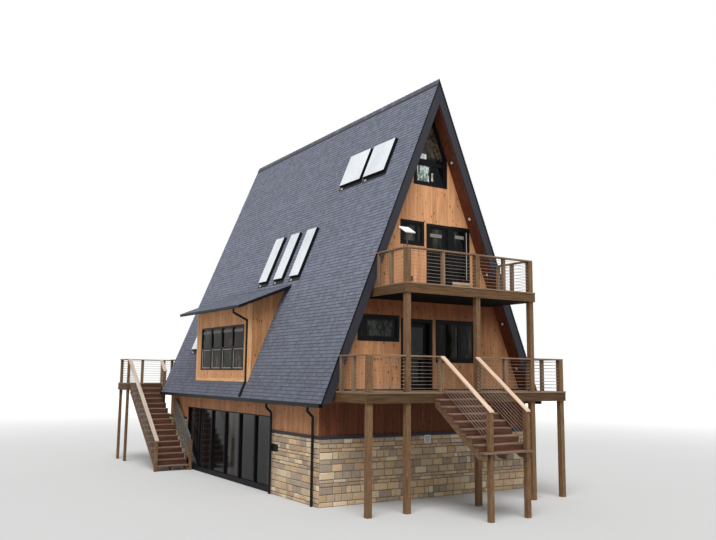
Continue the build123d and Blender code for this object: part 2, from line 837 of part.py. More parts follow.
# The landing's thinner posts stand in line with the stair's left rail and the deck's back rail
back_rail_y = back_post_y + post / 2
landing_post_x = back_stair_left - rail_post / 2
landing_posts = [(landing_post_x, landing_start + rim_width), (landing_post_x, back_rail_y - rail_post / 2)]
with BuildPart() as stair_landing:
    platform([(landing_post_x - rim_width, landing_start, -deck_half, back_deck_end)], main_level,
             landing_posts, rail_post)
save(stair_landing, "stair_landing")

# Rails: a cap, posts between the deck's own posts, and level cables
cable_pitch = rail_height / (cable_count + 1)


def bar(start, end, width, height):
    """Bar with plumb ends whose top runs from start to end, along X or along Y."""
    (x0, y0, z0), (x1, y1, z1) = start, end
    if x0 == x1:
        with BuildSketch(beside(x0 - width / 2)) as side:
            outline([(y0, z0), (y1, z1), (y1, z1 - height), (y0, z0 - height)])
    else:
        with BuildSketch(across(y0 + width / 2)) as side:
            outline([(x0, z0), (x1, z1), (x1, z1 - height), (x0, z0 - height)])
    extrude(side.sketch, amount=width)


def cables(start, end):
    """Thin six-sided rods, evenly spaced up the rail, parallel to the line from start to end."""
    run = Vector(*end) - Vector(*start)
    if start[0] == end[0]:
        plane, place = across(start[1]), start[0]
    else:
        plane, place = beside(start[0]), start[1]
    with BuildSketch(plane) as section:
        for index in range(1, cable_count + 1):
            with Locations((place, start[2] + index * cable_pitch)):
                RegularPolygon(cable_radius, 6)
    extrude(section.sketch, amount=run.length, dir=run.normalized())


def railing(start, end, posts=(), reach=(0, 0)):
    """Level rail between two floor points: cap, posts at the given distances, end strips, cables."""
    start, end, lift = Vector(*start), Vector(*end), Vector(0, 0, rail_height)
    along = (end - start).normalized()
    bar(tuple(start + lift - along * reach[0]), tuple(end + lift + along * reach[1]), cap_width, cap_height)
    strip_inset = butt_joint + end_strip / 2
    feet = [(distance, rail_post, rail_post) for distance in posts]
    for distance in (strip_inset, (end - start).length - strip_inset):
        feet.append((distance, end_strip, end_strip_width))
    with BuildSketch(Plane.XY.offset(start.Z)) as plan:
        for distance, length, width in feet:
            foot = start + along * distance
            size = (length, width) if along.X else (width, length)
            with Locations((foot.X, foot.Y)):
                Rectangle(*size)
    extrude(plan.sketch, amount=rail_height - cap_height)
    cables(tuple(start), tuple(end))


stair_left_x = -1100
stair_right_x = 80
rail_y = post_y + post / 2
side_rail_end = -roof_half_length - rake_gap
deck_corner_x = deck_half - rim_width - post / 2
balcony_corner_x = balcony_half - rim_width - post / 2
half_reach = (post - butt_joint) / 2

side_rail_length = side_rail_end - post_y - post

with BuildPart() as deck_rails:
    railing((deck_post_x[0] + post, rail_y, main_level), (balcony_post_x[0], rail_y, main_level),
            reach=(post, 0))
    railing((balcony_post_x[0] + post, rail_y, main_level), (stair_left_x, rail_y, main_level),
            posts=(stair_left_x - balcony_post_x[0] - post,), reach=(0, rail_post / 2))
    railing((balcony_post_x[1] + post, rail_y, main_level), (balcony_post_x[2], rail_y, main_level),
            posts=((balcony_post_x[2] - balcony_post_x[1] - post) / 2,))
    railing((balcony_post_x[2] + post, rail_y, main_level), (deck_post_x[3], rail_y, main_level),
            reach=(0, post))
    for side in (-1, 1):
        x = side * deck_corner_x
        railing((x, post_y + post, main_level), (x, side_rail_end, main_level),
                posts=(side_rail_length / 2, side_rail_length - rail_post / 2), reach=(-butt_joint, 0))
save(deck_rails, "deck_rails")

with BuildPart() as balcony_rails:
    for near, far, reach in ((balcony_post_x[0] + post, balcony_post_x[1], (post, half_reach)),
                             (balcony_post_x[1] + post, balcony_post_x[2], (half_reach, post))):
        railing((near, rail_y, upper_level), (far, rail_y, upper_level), posts=((far - near) / 2,),
                reach=reach)
    for side in (-1, 1):
        x = side * balcony_corner_x
        railing((x, post_y + post, upper_level), (x, side_rail_end, upper_level),
                posts=(side_rail_length / 2, side_rail_length - rail_post / 2), reach=(-butt_joint, 0))
save(balcony_rails, "balcony_rails")

# Stairs: cut stringers, treads that lie on them, sloping rails with newels
tread_thickness = 38
nosing = 25
stringer_width = 45
stringer_throat = 130
riser_thickness = 20
joint_clearance = 2
newel_side = 120


class Flight:
    """Stair that goes down towards the front from a floor edge at top_y."""

    def __init__(self, left, right, top_y, top_level, foot_level, risers, run):
        self.left, self.right, self.top_y, self.top_level = left, right, top_y, top_level
        self.foot_level, self.risers, self.run = foot_level, risers, run
        self.rise = (top_level - foot_level) / risers

    def tread_level(self, index):
        """Top of a tread, counted from 1 at the top."""
        return self.top_level - index * self.rise

    def stringer(self):
        """Corners of a cut stringer in a plane across X."""
        points = []
        for index in range(1, self.risers):
            seat = self.tread_level(index) - tread_thickness
            points.append((self.top_y - (index - 1) * self.run, seat))
            points.append((self.top_y - index * self.run + joint_clearance, seat))
        last_y = self.top_y - (self.risers - 1) * self.run + joint_clearance
        pitch = self.rise / self.run
        throat = stringer_throat * hypot(1, pitch)
        back_start = self.tread_level(1) - tread_thickness - throat
        foot_back = self.top_y - (back_start - self.foot_level) / pitch
        points += [(last_y, self.foot_level), (foot_back, self.foot_level), (self.top_y, back_start)]
        return points

    def rail_level(self, y):
        """Top of the sloping cap at y."""
        return self.top_level + rail_height - (self.top_y - y) * self.rise / self.run


def flight_steps(flight):
    """Steps of a flight, each a tread with the riser that closes the rise behind it."""
    for index in range(1, flight.risers):
        back = flight.top_y - (index - 1) * flight.run
        front, level = back - flight.run, flight.tread_level(index)
        head = level + flight.rise - tread_thickness - butt_joint
        with BuildSketch(beside(flight.left)) as side:
            outline([(front - nosing, level - tread_thickness), (back, level - tread_thickness),
                     (back, head), (back - riser_thickness, head), (back - riser_thickness, level),
                     (front - nosing, level)])
        extrude(side.sketch, amount=flight.right - flight.left)


def flight_stringers(flight, first, last):
    """Two outer stringers, from x first and up to x last, and one in the middle."""
    for x in (first, (first + last - stringer_width) / 2, last - stringer_width):
        with BuildSketch(beside(x)) as side:
            outline(flight.stringer())
        extrude(side.sketch, amount=stringer_width)


def flight_rail(flight, x, high_y, low_y):
    """Sloping cap, cables and upright end strips from high_y to low_y."""
    start, end = (x, high_y, flight.rail_level(high_y)), (x, low_y, flight.rail_level(low_y))
    bar(start, end, cap_width, cap_height)
    cables((x, high_y, start[2] - rail_height), (x, low_y, end[2] - rail_height))
    for y in (high_y - end_strip, low_y):
        with BuildSketch(beside(x - end_strip_width / 2)) as strip:
            foot, head = flight.rail_level(y) - rail_height + cable_pitch / 2, flight.rail_level(y)
            outline([(y, foot), (y + end_strip, foot), (y + end_strip, head - cap_height / 2),
                     (y, head - cap_height / 2)])
        extrude(strip.sketch, amount=end_strip_width)


def newel(flight, x, y, size, mode=Mode.ADD):
    """Square post of a stair rail from the lowest ground to the sloping cap."""
    top = flight.rail_level(y - size / 2) - cap_height
    block((x - size / 2, y - size / 2, 0), (x + size / 2, y + size / 2, top), mode)


steps_left = -1370
steps_right = stair_right_x + newel_side / 2
front_flight = Flight(steps_left, steps_right, deck_front, main_level, front_grade, 9, 235)
rail_clearance = 6
front_newel_y = deck_front - 1755
with BuildPart() as front_steps:
    flight_steps(front_flight)
    for x in (stair_left_x, stair_right_x):
        newel(front_flight, x, front_newel_y, newel_side, Mode.SUBTRACT)
save(front_steps, "front_steps")

with BuildPart() as front_stair_stringers:
    flight_stringers(front_flight, steps_left + nosing, stair_right_x - newel_side / 2 - butt_joint)
save(front_stair_stringers, "front_stair_stringers")

with BuildPart() as front_stair_rails:
    for x in (stair_left_x, stair_right_x):
        flight_rail(front_flight, x, deck_front - rail_clearance, front_newel_y + newel_side / 2)
save(front_stair_rails, "front_stair_rails")

# Posts and newels, all from the lowest ground
post_top = main_level + rail_height - cap_height
balcony_rail_top = upper_level + rail_height - cap_height
with BuildPart() as front_deck_posts:
    for x, y in front_posts:
        block((x, y, 0), (x + post, y + post, balcony_rail_top if (x, y) in balcony_posts else post_top))
    for x in (stair_left_x, stair_right_x):
        newel(front_flight, x, front_newel_y, newel_side)
save(front_deck_posts, "front_deck_posts")

back_flight = Flight(back_stair_left + rail_post / 2, back_stair_right - rail_post / 2, landing_start,
                     main_level, 0, 16, 238)
back_newel_y = landing_start - (back_flight.risers - 1) * back_flight.run
stub_end = roof_half_length + 60
low_rail_start = landing_start - 1740
with BuildPart() as back_steps:
    flight_steps(back_flight)
save(back_steps, "back_steps")

with BuildPart() as back_stair_stringers:
    flight_stringers(back_flight, back_flight.left + nosing, back_flight.right - nosing)
save(back_stair_stringers, "back_stair_stringers")

with BuildPart() as back_stair_rails:
    top_end, foot_end = landing_start - rail_clearance, back_newel_y + rail_post / 2
    flight_rail(back_flight, back_stair_left, top_end, foot_end)
    flight_rail(back_flight, back_stair_right, top_end, stub_end + rail_post)
save(back_stair_rails, "back_stair_rails")

# Old board rail on the lower right: two sloping boards with pickets between them
picket_width = 60
picket_gap = 110
board_height = 140
low_rail_foot = 90
picket_board = 38
with BuildPart() as lower_stair_rail:
    high_y = low_rail_start - rail_post
    for lift in (0, rail_height - board_height - low_rail_foot):
        start = (back_stair_right, high_y, back_flight.rail_level(high_y) - lift)
        end = (back_stair_right, foot_end, back_flight.rail_level(foot_end) - lift)
        bar(start, end, picket_board, board_height)
    picket_count = int((high_y - foot_end) / (picket_width + picket_gap))
    picket_pitch = (high_y - foot_end - picket_width) / picket_count
    with BuildSketch(beside(back_stair_right - picket_board / 2)) as pickets:
        for index in range(picket_count + 1):
            y = foot_end + index * picket_pitch
            top = back_flight.rail_level(y) - board_height / 2
            foot = top - rail_height + board_height
            outline([(y, foot), (y + picket_width, foot), (y + picket_width, top), (y, top)])
    extrude(pickets.sketch, amount=picket_board)
save(lower_stair_rail, "lower_stair_rail")

with BuildPart() as back_deck_posts:
    for posts, size in ((back_posts, post), (landing_posts, rail_post)):
        for x, y in posts:
            block((x, y, 0), (x + size, y + size, post_top))
    newel(back_flight, back_stair_left, back_newel_y, rail_post)
    for y in (stub_end + rail_post / 2, low_rail_start - rail_post / 2, back_newel_y):
        newel(back_flight, back_stair_right, y, rail_post)
save(back_deck_posts, "back_deck_posts")

cap_lap = (cap_width - rail_post) / 2
landing_cap = rail_post + rim_width + rail_clearance - butt_joint
with BuildPart() as back_deck_rails:
    starts = [landing_post_x + rail_post] + [x + post for x, y in back_posts[:-1]]
    ends = [x for x, y in back_posts]
    reaches = ((rail_post + cap_lap, half_reach), (half_reach, half_reach), (half_reach, post))
    for near, far, reach in zip(starts, ends, reaches):
        railing((near, back_rail_y, main_level), (far, back_rail_y, main_level),
                posts=((far - near) / 2,), reach=reach)
    railing((back_stair_left, landing_posts[0][1] + rail_post, main_level),
            (back_stair_left, back_rail_y - cap_width / 2 - butt_joint, main_level), reach=(landing_cap, 0))
    side_rail_start = roof_half_length + rake_gap
    railing((-deck_corner_x, side_rail_start, main_level), (-deck_corner_x, landing_start, main_level),
            posts=(rail_post / 2, landing_start - side_rail_start - rail_post / 2))
    railing((deck_corner_x, side_rail_start, main_level), (deck_corner_x, back_post_y, main_level),
            posts=(rail_post / 2,), reach=(0, -butt_joint))
save(back_deck_rails, "back_deck_rails")

# Downspouts: round pipes from the gutters to the ground, and from the dormer to the roof
pipe_radius = 35
pipe_bend = 60
pipe_x = basement_half + veneer_thickness + water_table_proud + pipe_radius
gutter_x = eave_half + gutter_outside - gutter_width / 2
gutter_bottom = eave_level - gutter_height
dormer_pipe_inset = 60
dormer_pipe_x = dormer_front + pipe_radius + fit
dormer_pipe_turn = 140


def pipe(points):
    """Round pipe along straight runs with bends."""
    with BuildLine() as route:
        FilletPolyline(*points, radius=pipe_bend)
    with BuildSketch(Plane(origin=route.line @ 0, z_dir=route.line % 0)) as section:
        Circle(pipe_radius)
    sweep(section.sketch, path=route.line)


with BuildPart() as downspouts:
    for side in (-1, 1):
        for y in (front_face + 230, front_face + 2650):
            pipe([(side * gutter_x, y, gutter_bottom), (side * gutter_x, y, gutter_bottom - 110),
                  (side * pipe_x, y, gutter_bottom - 260), (side * pipe_x, y, 0)])
        y = dormer_start + dormer_pipe_inset
        slope_lift = 1.2 * pipe_radius
        pipe([(side * (dormer_eave_x - pipe_radius), y, dormer_eave_bottom),
              (side * (dormer_eave_x - pipe_radius), y, dormer_eave_bottom - 110),
              (side * dormer_pipe_x, y, dormer_eave_bottom - 330),
              (side * dormer_pipe_x, y, roof_level(dormer_pipe_x) + dormer_pipe_turn),
              (side * (eave_half + slope_lift), y, eave_level + slope_lift)])
save(downspouts, "downspouts")

# Antenna: a flat plate on a mast at the balcony's front left post
mast_radius = 18
mast_height = 430
plate_size = (300, 345, 30)
plate_tilt = 31
mast_place = (balcony_post_x[0] + post / 2, rail_y)
with BuildPart() as antenna:
    with Locations((*mast_place, upper_level + rail_height + mast_height / 2)):
        Cylinder(mast_radius, mast_height)
    with Locations(Location((*mast_place, upper_level + rail_height + mast_height), (plate_tilt, 0, 0))):
        Box(*plate_size)
save(antenna, "antenna")
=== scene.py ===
"""Looks of the A-frame cabin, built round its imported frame. Metres, in the frame's own axes:
X to the right of the front gable, Y towards the back gable, Z up from the lowest ground.
"""
import random
from math import atan2, copysign, cos, pi, radians, sin, tan

import bmesh
import bpy
from mathutils import Matrix, Vector

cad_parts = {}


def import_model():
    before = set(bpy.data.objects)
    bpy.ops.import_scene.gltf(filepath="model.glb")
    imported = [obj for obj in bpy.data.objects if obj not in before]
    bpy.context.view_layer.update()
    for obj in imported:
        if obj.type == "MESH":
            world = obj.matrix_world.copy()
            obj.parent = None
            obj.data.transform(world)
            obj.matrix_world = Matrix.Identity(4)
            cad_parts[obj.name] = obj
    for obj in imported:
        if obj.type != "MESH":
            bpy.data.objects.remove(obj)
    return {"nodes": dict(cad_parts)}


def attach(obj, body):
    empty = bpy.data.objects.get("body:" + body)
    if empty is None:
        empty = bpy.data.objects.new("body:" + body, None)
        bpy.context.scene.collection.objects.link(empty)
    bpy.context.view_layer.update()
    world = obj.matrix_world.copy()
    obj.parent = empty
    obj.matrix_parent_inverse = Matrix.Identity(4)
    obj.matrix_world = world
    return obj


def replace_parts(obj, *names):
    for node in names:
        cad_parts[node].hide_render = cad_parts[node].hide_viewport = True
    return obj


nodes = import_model()["nodes"]
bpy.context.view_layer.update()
dice = random.Random(11)

# Levels and main sizes, as in the source
BASE_GRADE = 1.42
MAIN_LEVEL = 2.94
UPPER_LEVEL = 5.71
EAVE_LEVEL = 2.615
RIDGE_LEVEL = 11.98
EAVE_HALF = 3.857
ROOF_HALF_LENGTH = 6.14
ROOF_THICKNESS = 0.28
FRONT_FACE = -5.69
BACK_FACE = 5.69
BASEMENT_HALF = 3.6
VENEER_HEIGHT = 1.7
VENEER_THICKNESS = 0.025
LEDGE_TOP = 1.78
SLOPE = atan2(RIDGE_LEVEL - EAVE_LEVEL, EAVE_HALF)
SLOPE_LENGTH = EAVE_HALF / cos(SLOPE)
INNER_RIDGE = RIDGE_LEVEL - ROOF_THICKNESS / cos(SLOPE)


def outer_x(level):
    """Half width of the roof's outer face at a level."""
    return (RIDGE_LEVEL - level) / tan(SLOPE)


def inner_x(level):
    """Half width of the roof's inner face at a level."""
    return outer_x(level) - ROOF_THICKNESS / sin(SLOPE)


def roof_level(x):
    """Level of the main roof's outer face at a distance from the ridge line."""
    return RIDGE_LEVEL - x * tan(SLOPE)


def slope_axes(side, slope=SLOPE):
    """Directions up a roof's left (-1) or right (1) slope, and out of it."""
    return Vector((-side * cos(slope), 0, sin(slope))), Vector((side * sin(slope), 0, cos(slope)))


def on_roof(side, along, up, lift=0):
    """Point of the main roof: along it from the front rake, up from the eave, and lifted off it."""
    rise, out = slope_axes(side)
    return Vector((side * EAVE_HALF, -ROOF_HALF_LENGTH + along, EAVE_LEVEL)) + rise * up + out * lift


# Camera: solved from the photograph
CAMERA_PLACE = (-13.6704, -23.1753, 3.394)
CAMERA_TURN = 32.5815
CAMERA_PITCH = 7.6476
CAMERA_ROLL = 0.5737
CAMERA_LENS = 38.683


def make_camera():
    """Camera at the photograph's place, turned from +Y towards +X, pitched up and rolled."""
    data = bpy.data.cameras.new("camera")
    data.lens = CAMERA_LENS
    data.sensor_width = 36
    camera = bpy.data.objects.new("camera", data)
    bpy.context.scene.collection.objects.link(camera)
    matrix = Matrix.Translation(CAMERA_PLACE)
    for angle, axis in ((-CAMERA_TURN, "Z"), (90 + CAMERA_PITCH, "X"), (CAMERA_ROLL, "Z")):
        matrix = matrix @ Matrix.Rotation(radians(angle), 4, axis)
    camera.matrix_world = matrix
    bpy.context.scene.camera = camera


make_camera()


# Materials
def srgb(red, green, blue):
    """Linear colour of a screen colour given from 0 to 255."""
    def linear(value):
        value /= 255
        return value / 12.92 if value <= 0.04045 else ((value + 0.055) / 1.055) ** 2.4
    return linear(red), linear(green), linear(blue), 1


class Nodes:
    """A node tree of a material or of the world, and the ways to add to it."""

    def __init__(self, tree):
        self.tree = tree

    def set(self, socket, value):
        """Links a socket to another one, or gives it a plain value."""
        if isinstance(value, bpy.types.NodeSocket):
            self.tree.links.new(value, socket)
        elif socket.type == "VECTOR":
            socket.default_value = value[:3]
        else:
            socket.default_value = value

    def node(self, kind, inputs=(), **settings):
        """New node with its settings and with its inputs filled in order or by name."""
        made = self.tree.nodes.new("ShaderNode" + kind)
        for key, value in settings.items():
            setattr(made, key, value)
        for key, value in inputs.items() if isinstance(inputs, dict) else enumerate(inputs):
            self.set(made.inputs[key], value)
        return made

    def math(self, operation, *values):
        return self.node("Math", values, operation=operation).outputs[0]


class Finish(Nodes):
    """A material and the few building blocks that its pattern is put together from."""

    def __init__(self, name, roughness, metallic=0.0, specular=0.5):
        self.material = bpy.data.materials.new(name)
        self.material.use_nodes = True
        super().__init__(self.material.node_tree)
        self.shader = self.tree.nodes["Principled BSDF"]
        self.place = self.node("TexCoord").outputs["Object"]
        self.xyz = self.node("SeparateXYZ", [self.place]).outputs
        sheen = {"Roughness": roughness, "Metallic": metallic, "Specular IOR Level": specular}
        for key, value in sheen.items():
            self.shader.inputs[key].default_value = value

    def times(self, first, second):
        return self.math("MULTIPLY", first, second)

    def distance(self, value, centre):
        return self.math("ABSOLUTE", self.math("SUBTRACT", value, centre))

    def axis(self, vector, index):
        return self.node("SeparateXYZ", [vector]).outputs[index]

    def vector(self, *parts):
        return self.node("CombineXYZ", parts).outputs[0]

    def stretched(self, vector, scale):
        return self.node("VectorMath", [vector, scale], operation="MULTIPLY").outputs[0]

    def stored(self):
        """What a pile stores for each small solid: a tone from 0 to 1, and the place along its grain."""
        return (self.node("Attribute", attribute_name="tone").outputs["Fac"],
                self.node("Attribute", attribute_name="grain").outputs["Vector"])

    def noise(self, vector, scale=1, detail=4, roughness=0.55, seed=0):
        inputs = {"Vector": vector, "Scale": scale, "Detail": detail, "Roughness": roughness, "W": seed}
        return self.node("TexNoise", inputs, noise_dimensions="4D").outputs["Fac"]

    def ramp(self, factor, *stops):
        """Colour ramp from (place, colour) stops."""
        made = self.node("ValToRGB", [factor])
        elements = made.color_ramp.elements
        while len(elements) < len(stops):
            elements.new(0.5)
        for element, (place, colour) in zip(elements, stops):
            element.position = place
            element.color = colour
        return made.outputs["Color"]

    def step(self, value, low, high, to_low=0.0, to_high=1.0):
        """Value brought smoothly from the range low..high to to_low..to_high."""
        inputs = {"Value": value, "From Min": low, "From Max": high, "To Min": to_low, "To Max": to_high}
        return self.node("MapRange", inputs, interpolation_type="SMOOTHSTEP").outputs[0]

    def mix(self, factor, first, second, blend="MIX"):
        made = self.node("Mix", {0: factor}, data_type="RGBA", blend_type=blend)
        self.set(made.inputs[6], first)
        self.set(made.inputs[7], second)
        return made.outputs[2]

    def shade(self, colour, value, low, high):
        """Colour made darker or lighter: a value from 0 to 1 multiplies it by low to high."""
        amount = self.node("MapRange", {"Value": value, "To Min": low, "To Max": high}).outputs[0]
        return self.node("VectorMath", {0: colour, "Scale": amount}, operation="SCALE").outputs[0]

    def finish(self, colour, bump=None, depth=0.002, strength=0.5):
        """Sets the colour and the bump, and gives back the material."""
        self.set(self.shader.inputs["Base Color"], colour)
        if bump is not None:
            made = self.node("Bump", {"Strength": strength, "Distance": depth, "Height": bump})
            self.set(self.shader.inputs["Normal"], made.outputs[0])
        return self.material


KNOT_SPREAD = (3.6, 7.1)
KNOT_SHARE = 0.34
GRAIN_SPREAD = (1.6, 26, 26)
# Painted shade: the deep red that darkens the front under the balcony and under the deck
PAINTED_SHADE_TONE = srgb(154, 126, 112)


def knots_over(paint, colour, grain, seed):
    """Dark knots with a brown halo, in some cells of a grid stretched along the grain."""
    length = paint.math("MULTIPLY_ADD", paint.axis(grain, 0), KNOT_SPREAD[0], seed)
    width = paint.times(paint.math("ADD", paint.axis(grain, 1), paint.axis(grain, 2)), KNOT_SPREAD[1])
    cells = paint.node("TexVoronoi", {"Vector": paint.vector(length, width), "Scale": 1},
                       voronoi_dimensions="2D")
    chosen = paint.math("LESS_THAN", paint.axis(cells.outputs["Color"], 0), KNOT_SHARE)
    size = paint.math("MULTIPLY_ADD", paint.axis(cells.outputs["Color"], 1), 0.08, 0.06)
    reach = paint.math("DIVIDE", cells.outputs["Distance"], size)
    halo = paint.times(chosen, paint.step(reach, 2.2, 0.8))
    core = paint.times(chosen, paint.step(reach, 1.15, 0.7))
    colour = paint.mix(paint.times(halo, 0.4), colour, srgb(150, 92, 52))
    return paint.mix(paint.times(core, 0.85), colour, srgb(72, 42, 26))


def wood(name, dark, light, spread=(0.86, 1.1), knots=True, roughness=0.72, length_axis=None,
         boards=None, specular=0.25, painted_shade=()):
    """Wood with streaks along its grain, a tone for each board, and knots. A source solid has no
    boards of its own: it gets a length axis, and boards as (axis across, pitch). Painted shade darkens
    strips of the front, as (low, high, end) levels, to a deep red: the shade under the balcony and the deck."""
    paint = Finish(name, roughness, specular=specular)
    tone, grain = paint.stored()
    if length_axis is not None:
        parts = list(paint.xyz)
        grain = paint.vector(parts.pop(length_axis), *parts)
        tone = paint.noise(paint.place, 0.7, 1)
    if boards:
        across, pitch = boards
        cell = paint.math("DIVIDE", paint.xyz[across], pitch)
        number = paint.node("TexWhiteNoise", {"W": paint.math("FLOOR", cell)}, noise_dimensions="1D")
        tone = number.outputs["Value"]
    seed = paint.times(tone, 31)
    streaks = paint.noise(paint.stretched(grain, GRAIN_SPREAD), 1, 5, 0.6, seed)
    clouds = paint.noise(paint.stretched(grain, (0.9, 4, 4)), 1, 3, 0.5, seed)
    colour = paint.shade(paint.ramp(streaks, (0.32, dark), (0.68, light)), clouds, 0.85, 1.14)
    colour = paint.shade(colour, tone, *spread)
    if knots:
        colour = knots_over(paint, colour, grain, seed)
    if boards:
        groove = paint.math("GREATER_THAN", paint.distance(paint.math("FRACT", cell), 0.5), 0.485)
        colour = paint.mix(groove, colour, srgb(30, 20, 14))
    level = paint.xyz[2]
    # Painted shade on the front, growing towards the balcony's underside and under the deck
    for low, high, end in painted_shade:
        front = paint.math("LESS_THAN", paint.xyz[1], FRONT_FACE + 0.05)
        inside = paint.times(front, paint.math("LESS_THAN", level, end))
        amount = paint.times(inside, paint.step(level, low, high))
        colour = paint.mix(amount, colour, PAINTED_SHADE_TONE, "MULTIPLY")
    return paint.finish(colour, streaks, 0.002, 0.35)


def painted(name, colour, roughness=0.5, metallic=0.0, uneven=0.12, specular=0.5):
    """Paint or coated metal, slightly uneven in tone and sheen."""
    paint = Finish(name, roughness, metallic, specular)
    clouds, fine = paint.noise(paint.place, 1.08, 3), paint.noise(paint.place, 126, 2)
    worn = paint.step(fine, 0, 1, roughness - 0.08, roughness + 0.08)
    paint.set(paint.shader.inputs["Roughness"], worn)
    return paint.finish(paint.shade(colour, clouds, 1 - uneven, 1 + uneven), fine, 0.0008, 0.3)


MAST_TOP = 7.03
MAST_REACH = 0.03
MAST_PLACE = (-2.15, -7.475)


def masted(name, plate, mast):
    """Pale plate on a dark mast."""
    paint = Finish(name, 0.4)
    offsets = [paint.distance(paint.xyz[index], MAST_PLACE[index]) for index in (0, 1)]
    beside = paint.math("LESS_THAN", paint.math("MAXIMUM", *offsets), MAST_REACH)
    below = paint.math("LESS_THAN", paint.xyz[2], MAST_TOP)
    clouds = paint.noise(paint.place, 3, 3)
    colour = paint.mix(paint.times(beside, below), plate, mast)
    return paint.finish(paint.shade(colour, clouds, 0.96, 1.04), clouds, 0.0005, 0.2)


# Levels over which the roof's tone grows from darker at the eaves to its full tone
EAVE_DARKENING = (2.6, 7.0)


def shingles(name, base):
    """Mineral shingles: a tone for each tab, fine granules, a painted shadow band under the next course's
    edge, and a tone that grows darker towards the eaves."""
    paint = Finish(name, 0.9)
    tone, course = paint.stored()
    granules = paint.noise(paint.place, 160, 2, 0.7)
    colour = paint.shade(base, tone, 0.82, 1.18)
    colour = paint.shade(colour, paint.noise(paint.place, 0.45, 4), 0.9, 1.1)
    colour = paint.shade(colour, granules, 0.72, 1.28)
    # Painted shadow band under the edge of the course above
    colour = paint.shade(colour, paint.step(paint.axis(course, 1), 0.7, 1.0), 1.06, 0.56)
    colour = paint.shade(colour, paint.step(paint.xyz[2], *EAVE_DARKENING), 0.68, 1)
    return paint.finish(colour, granules, 0.002, 0.6)


def stone(name):
    """Buff and grey split stone, each with its own tone."""
    paint = Finish(name, 0.88)
    tone = paint.stored()[0]
    veins = paint.noise(paint.place, 14, 6, 0.65, paint.times(tone, 17))
    buff = paint.ramp(tone, (0.0, srgb(176, 146, 112)), (0.35, srgb(208, 180, 144)),
                      (0.7, srgb(150, 134, 118)), (1.0, srgb(226, 204, 170)))
    return paint.finish(paint.shade(buff, veins, 0.62, 1.3), veins, 0.006, 0.7)


def concrete(name, colour):
    """Poured concrete or mortar with pores and stains."""
    paint = Finish(name, 0.92)
    stains, pores = paint.noise(paint.place, 1.3, 5, 0.6), paint.noise(paint.place, 70, 3, 0.7)
    shaded = paint.shade(paint.shade(colour, stains, 0.74, 1.2), pores, 0.88, 1.1)
    return paint.finish(shaded, pores, 0.003, 0.5)


def window_glass(name, stretch, dark, light, share, specular=0.22, painted_reflections=()):
    """Dark glass with painted reflections: soft upright streaks of what stands before it, and mottled
    patches of the bright woods and sky, given as (x, level, half width, half height, dark colour,
    light colour)."""
    paint = Finish(name, 0.06, specular=specular)
    streaks = paint.noise(paint.stretched(paint.place, stretch), 1, 6, 0.62)
    blotches = paint.noise(paint.place, 0.9, 3)
    bright = paint.times(paint.step(streaks, 0.46, 0.7), paint.step(blotches, 0.35, 0.65))
    colour = paint.mix(paint.times(bright, share), dark, light)
    if painted_reflections:
        ragged = paint.noise(paint.place, 9, 4, 0.7)
        mottle = paint.noise(paint.stretched(paint.place, (15, 15, 8)), 1, 3, 0.6, 2.5)
        mottle = paint.step(mottle, 0.38, 0.62)
    for x, level, half_width, half_height, low, high in painted_reflections:
        across = paint.math("DIVIDE", paint.distance(paint.xyz[0], x), half_width)
        up = paint.math("DIVIDE", paint.distance(paint.xyz[2], level), half_height)
        reach = paint.math("MULTIPLY_ADD", ragged, 0.5, paint.math("MAXIMUM", across, up))
        colour = paint.mix(paint.step(reach, 1.3, 1.1), colour, paint.mix(mottle, low, high))
    return paint.finish(colour)


def sky_reflection_glass(name):
    """Skylight glass with the white sky's reflection painted on: a faint blue-grey cast and thin reflected
    branches.
    """
    paint = Finish(name, 0.12)
    haze = paint.noise(paint.place, 0.8, 3)
    colour = paint.ramp(haze, (0.3, srgb(200, 205, 211)), (0.7, srgb(224, 228, 232)))
    branches = paint.noise(paint.stretched(paint.place, (1.2, 3.4, 1.2)), 2.2, 6, 0.75)
    thin = paint.step(paint.distance(branches, 0.5), 0.012, 0.0, 0.0, 0.42)
    return paint.finish(paint.mix(thin, colour, srgb(120, 132, 138)))


def curtain_glass(name):
    """Glass of the basement bays: dark, with upright folds of grey curtains behind it."""
    paint = Finish(name, 0.08, specular=0.15)
    folds = paint.noise(paint.stretched(paint.place, (0.2, 9, 0.2)), 1, 2)
    drawn = paint.noise(paint.stretched(paint.place, (0.1, 1.05, 0.05)), 1, 1, 0.5, 3.7)
    amount = paint.times(paint.step(folds, 0.4, 0.62), paint.step(drawn, 0.44, 0.56))
    return paint.finish(paint.mix(amount, srgb(14, 15, 16), srgb(58, 54, 52)))


CEDAR = srgb(187, 128, 86), srgb(222, 167, 121)
WORN = {"spread": (0.85, 1.15), "knots": False, "roughness": 0.8}
NEW = {"spread": (0.95, 1.05), "knots": False, "roughness": 0.7}
# Cedar boards; painted shade darkens the front towards the balcony and under the deck
siding_wood = wood("siding_boards", *CEDAR,
                   painted_shade=((3.9, 5.35, UPPER_LEVEL - 0.1), (0, 1, MAIN_LEVEL - 0.25)))
# Darker copy of the cedar: painted shade of the dormer roof's overhang on the cheeks
painted_shade_cheek_wood = wood("cheek_boards", srgb(158, 106, 68), srgb(192, 142, 98))
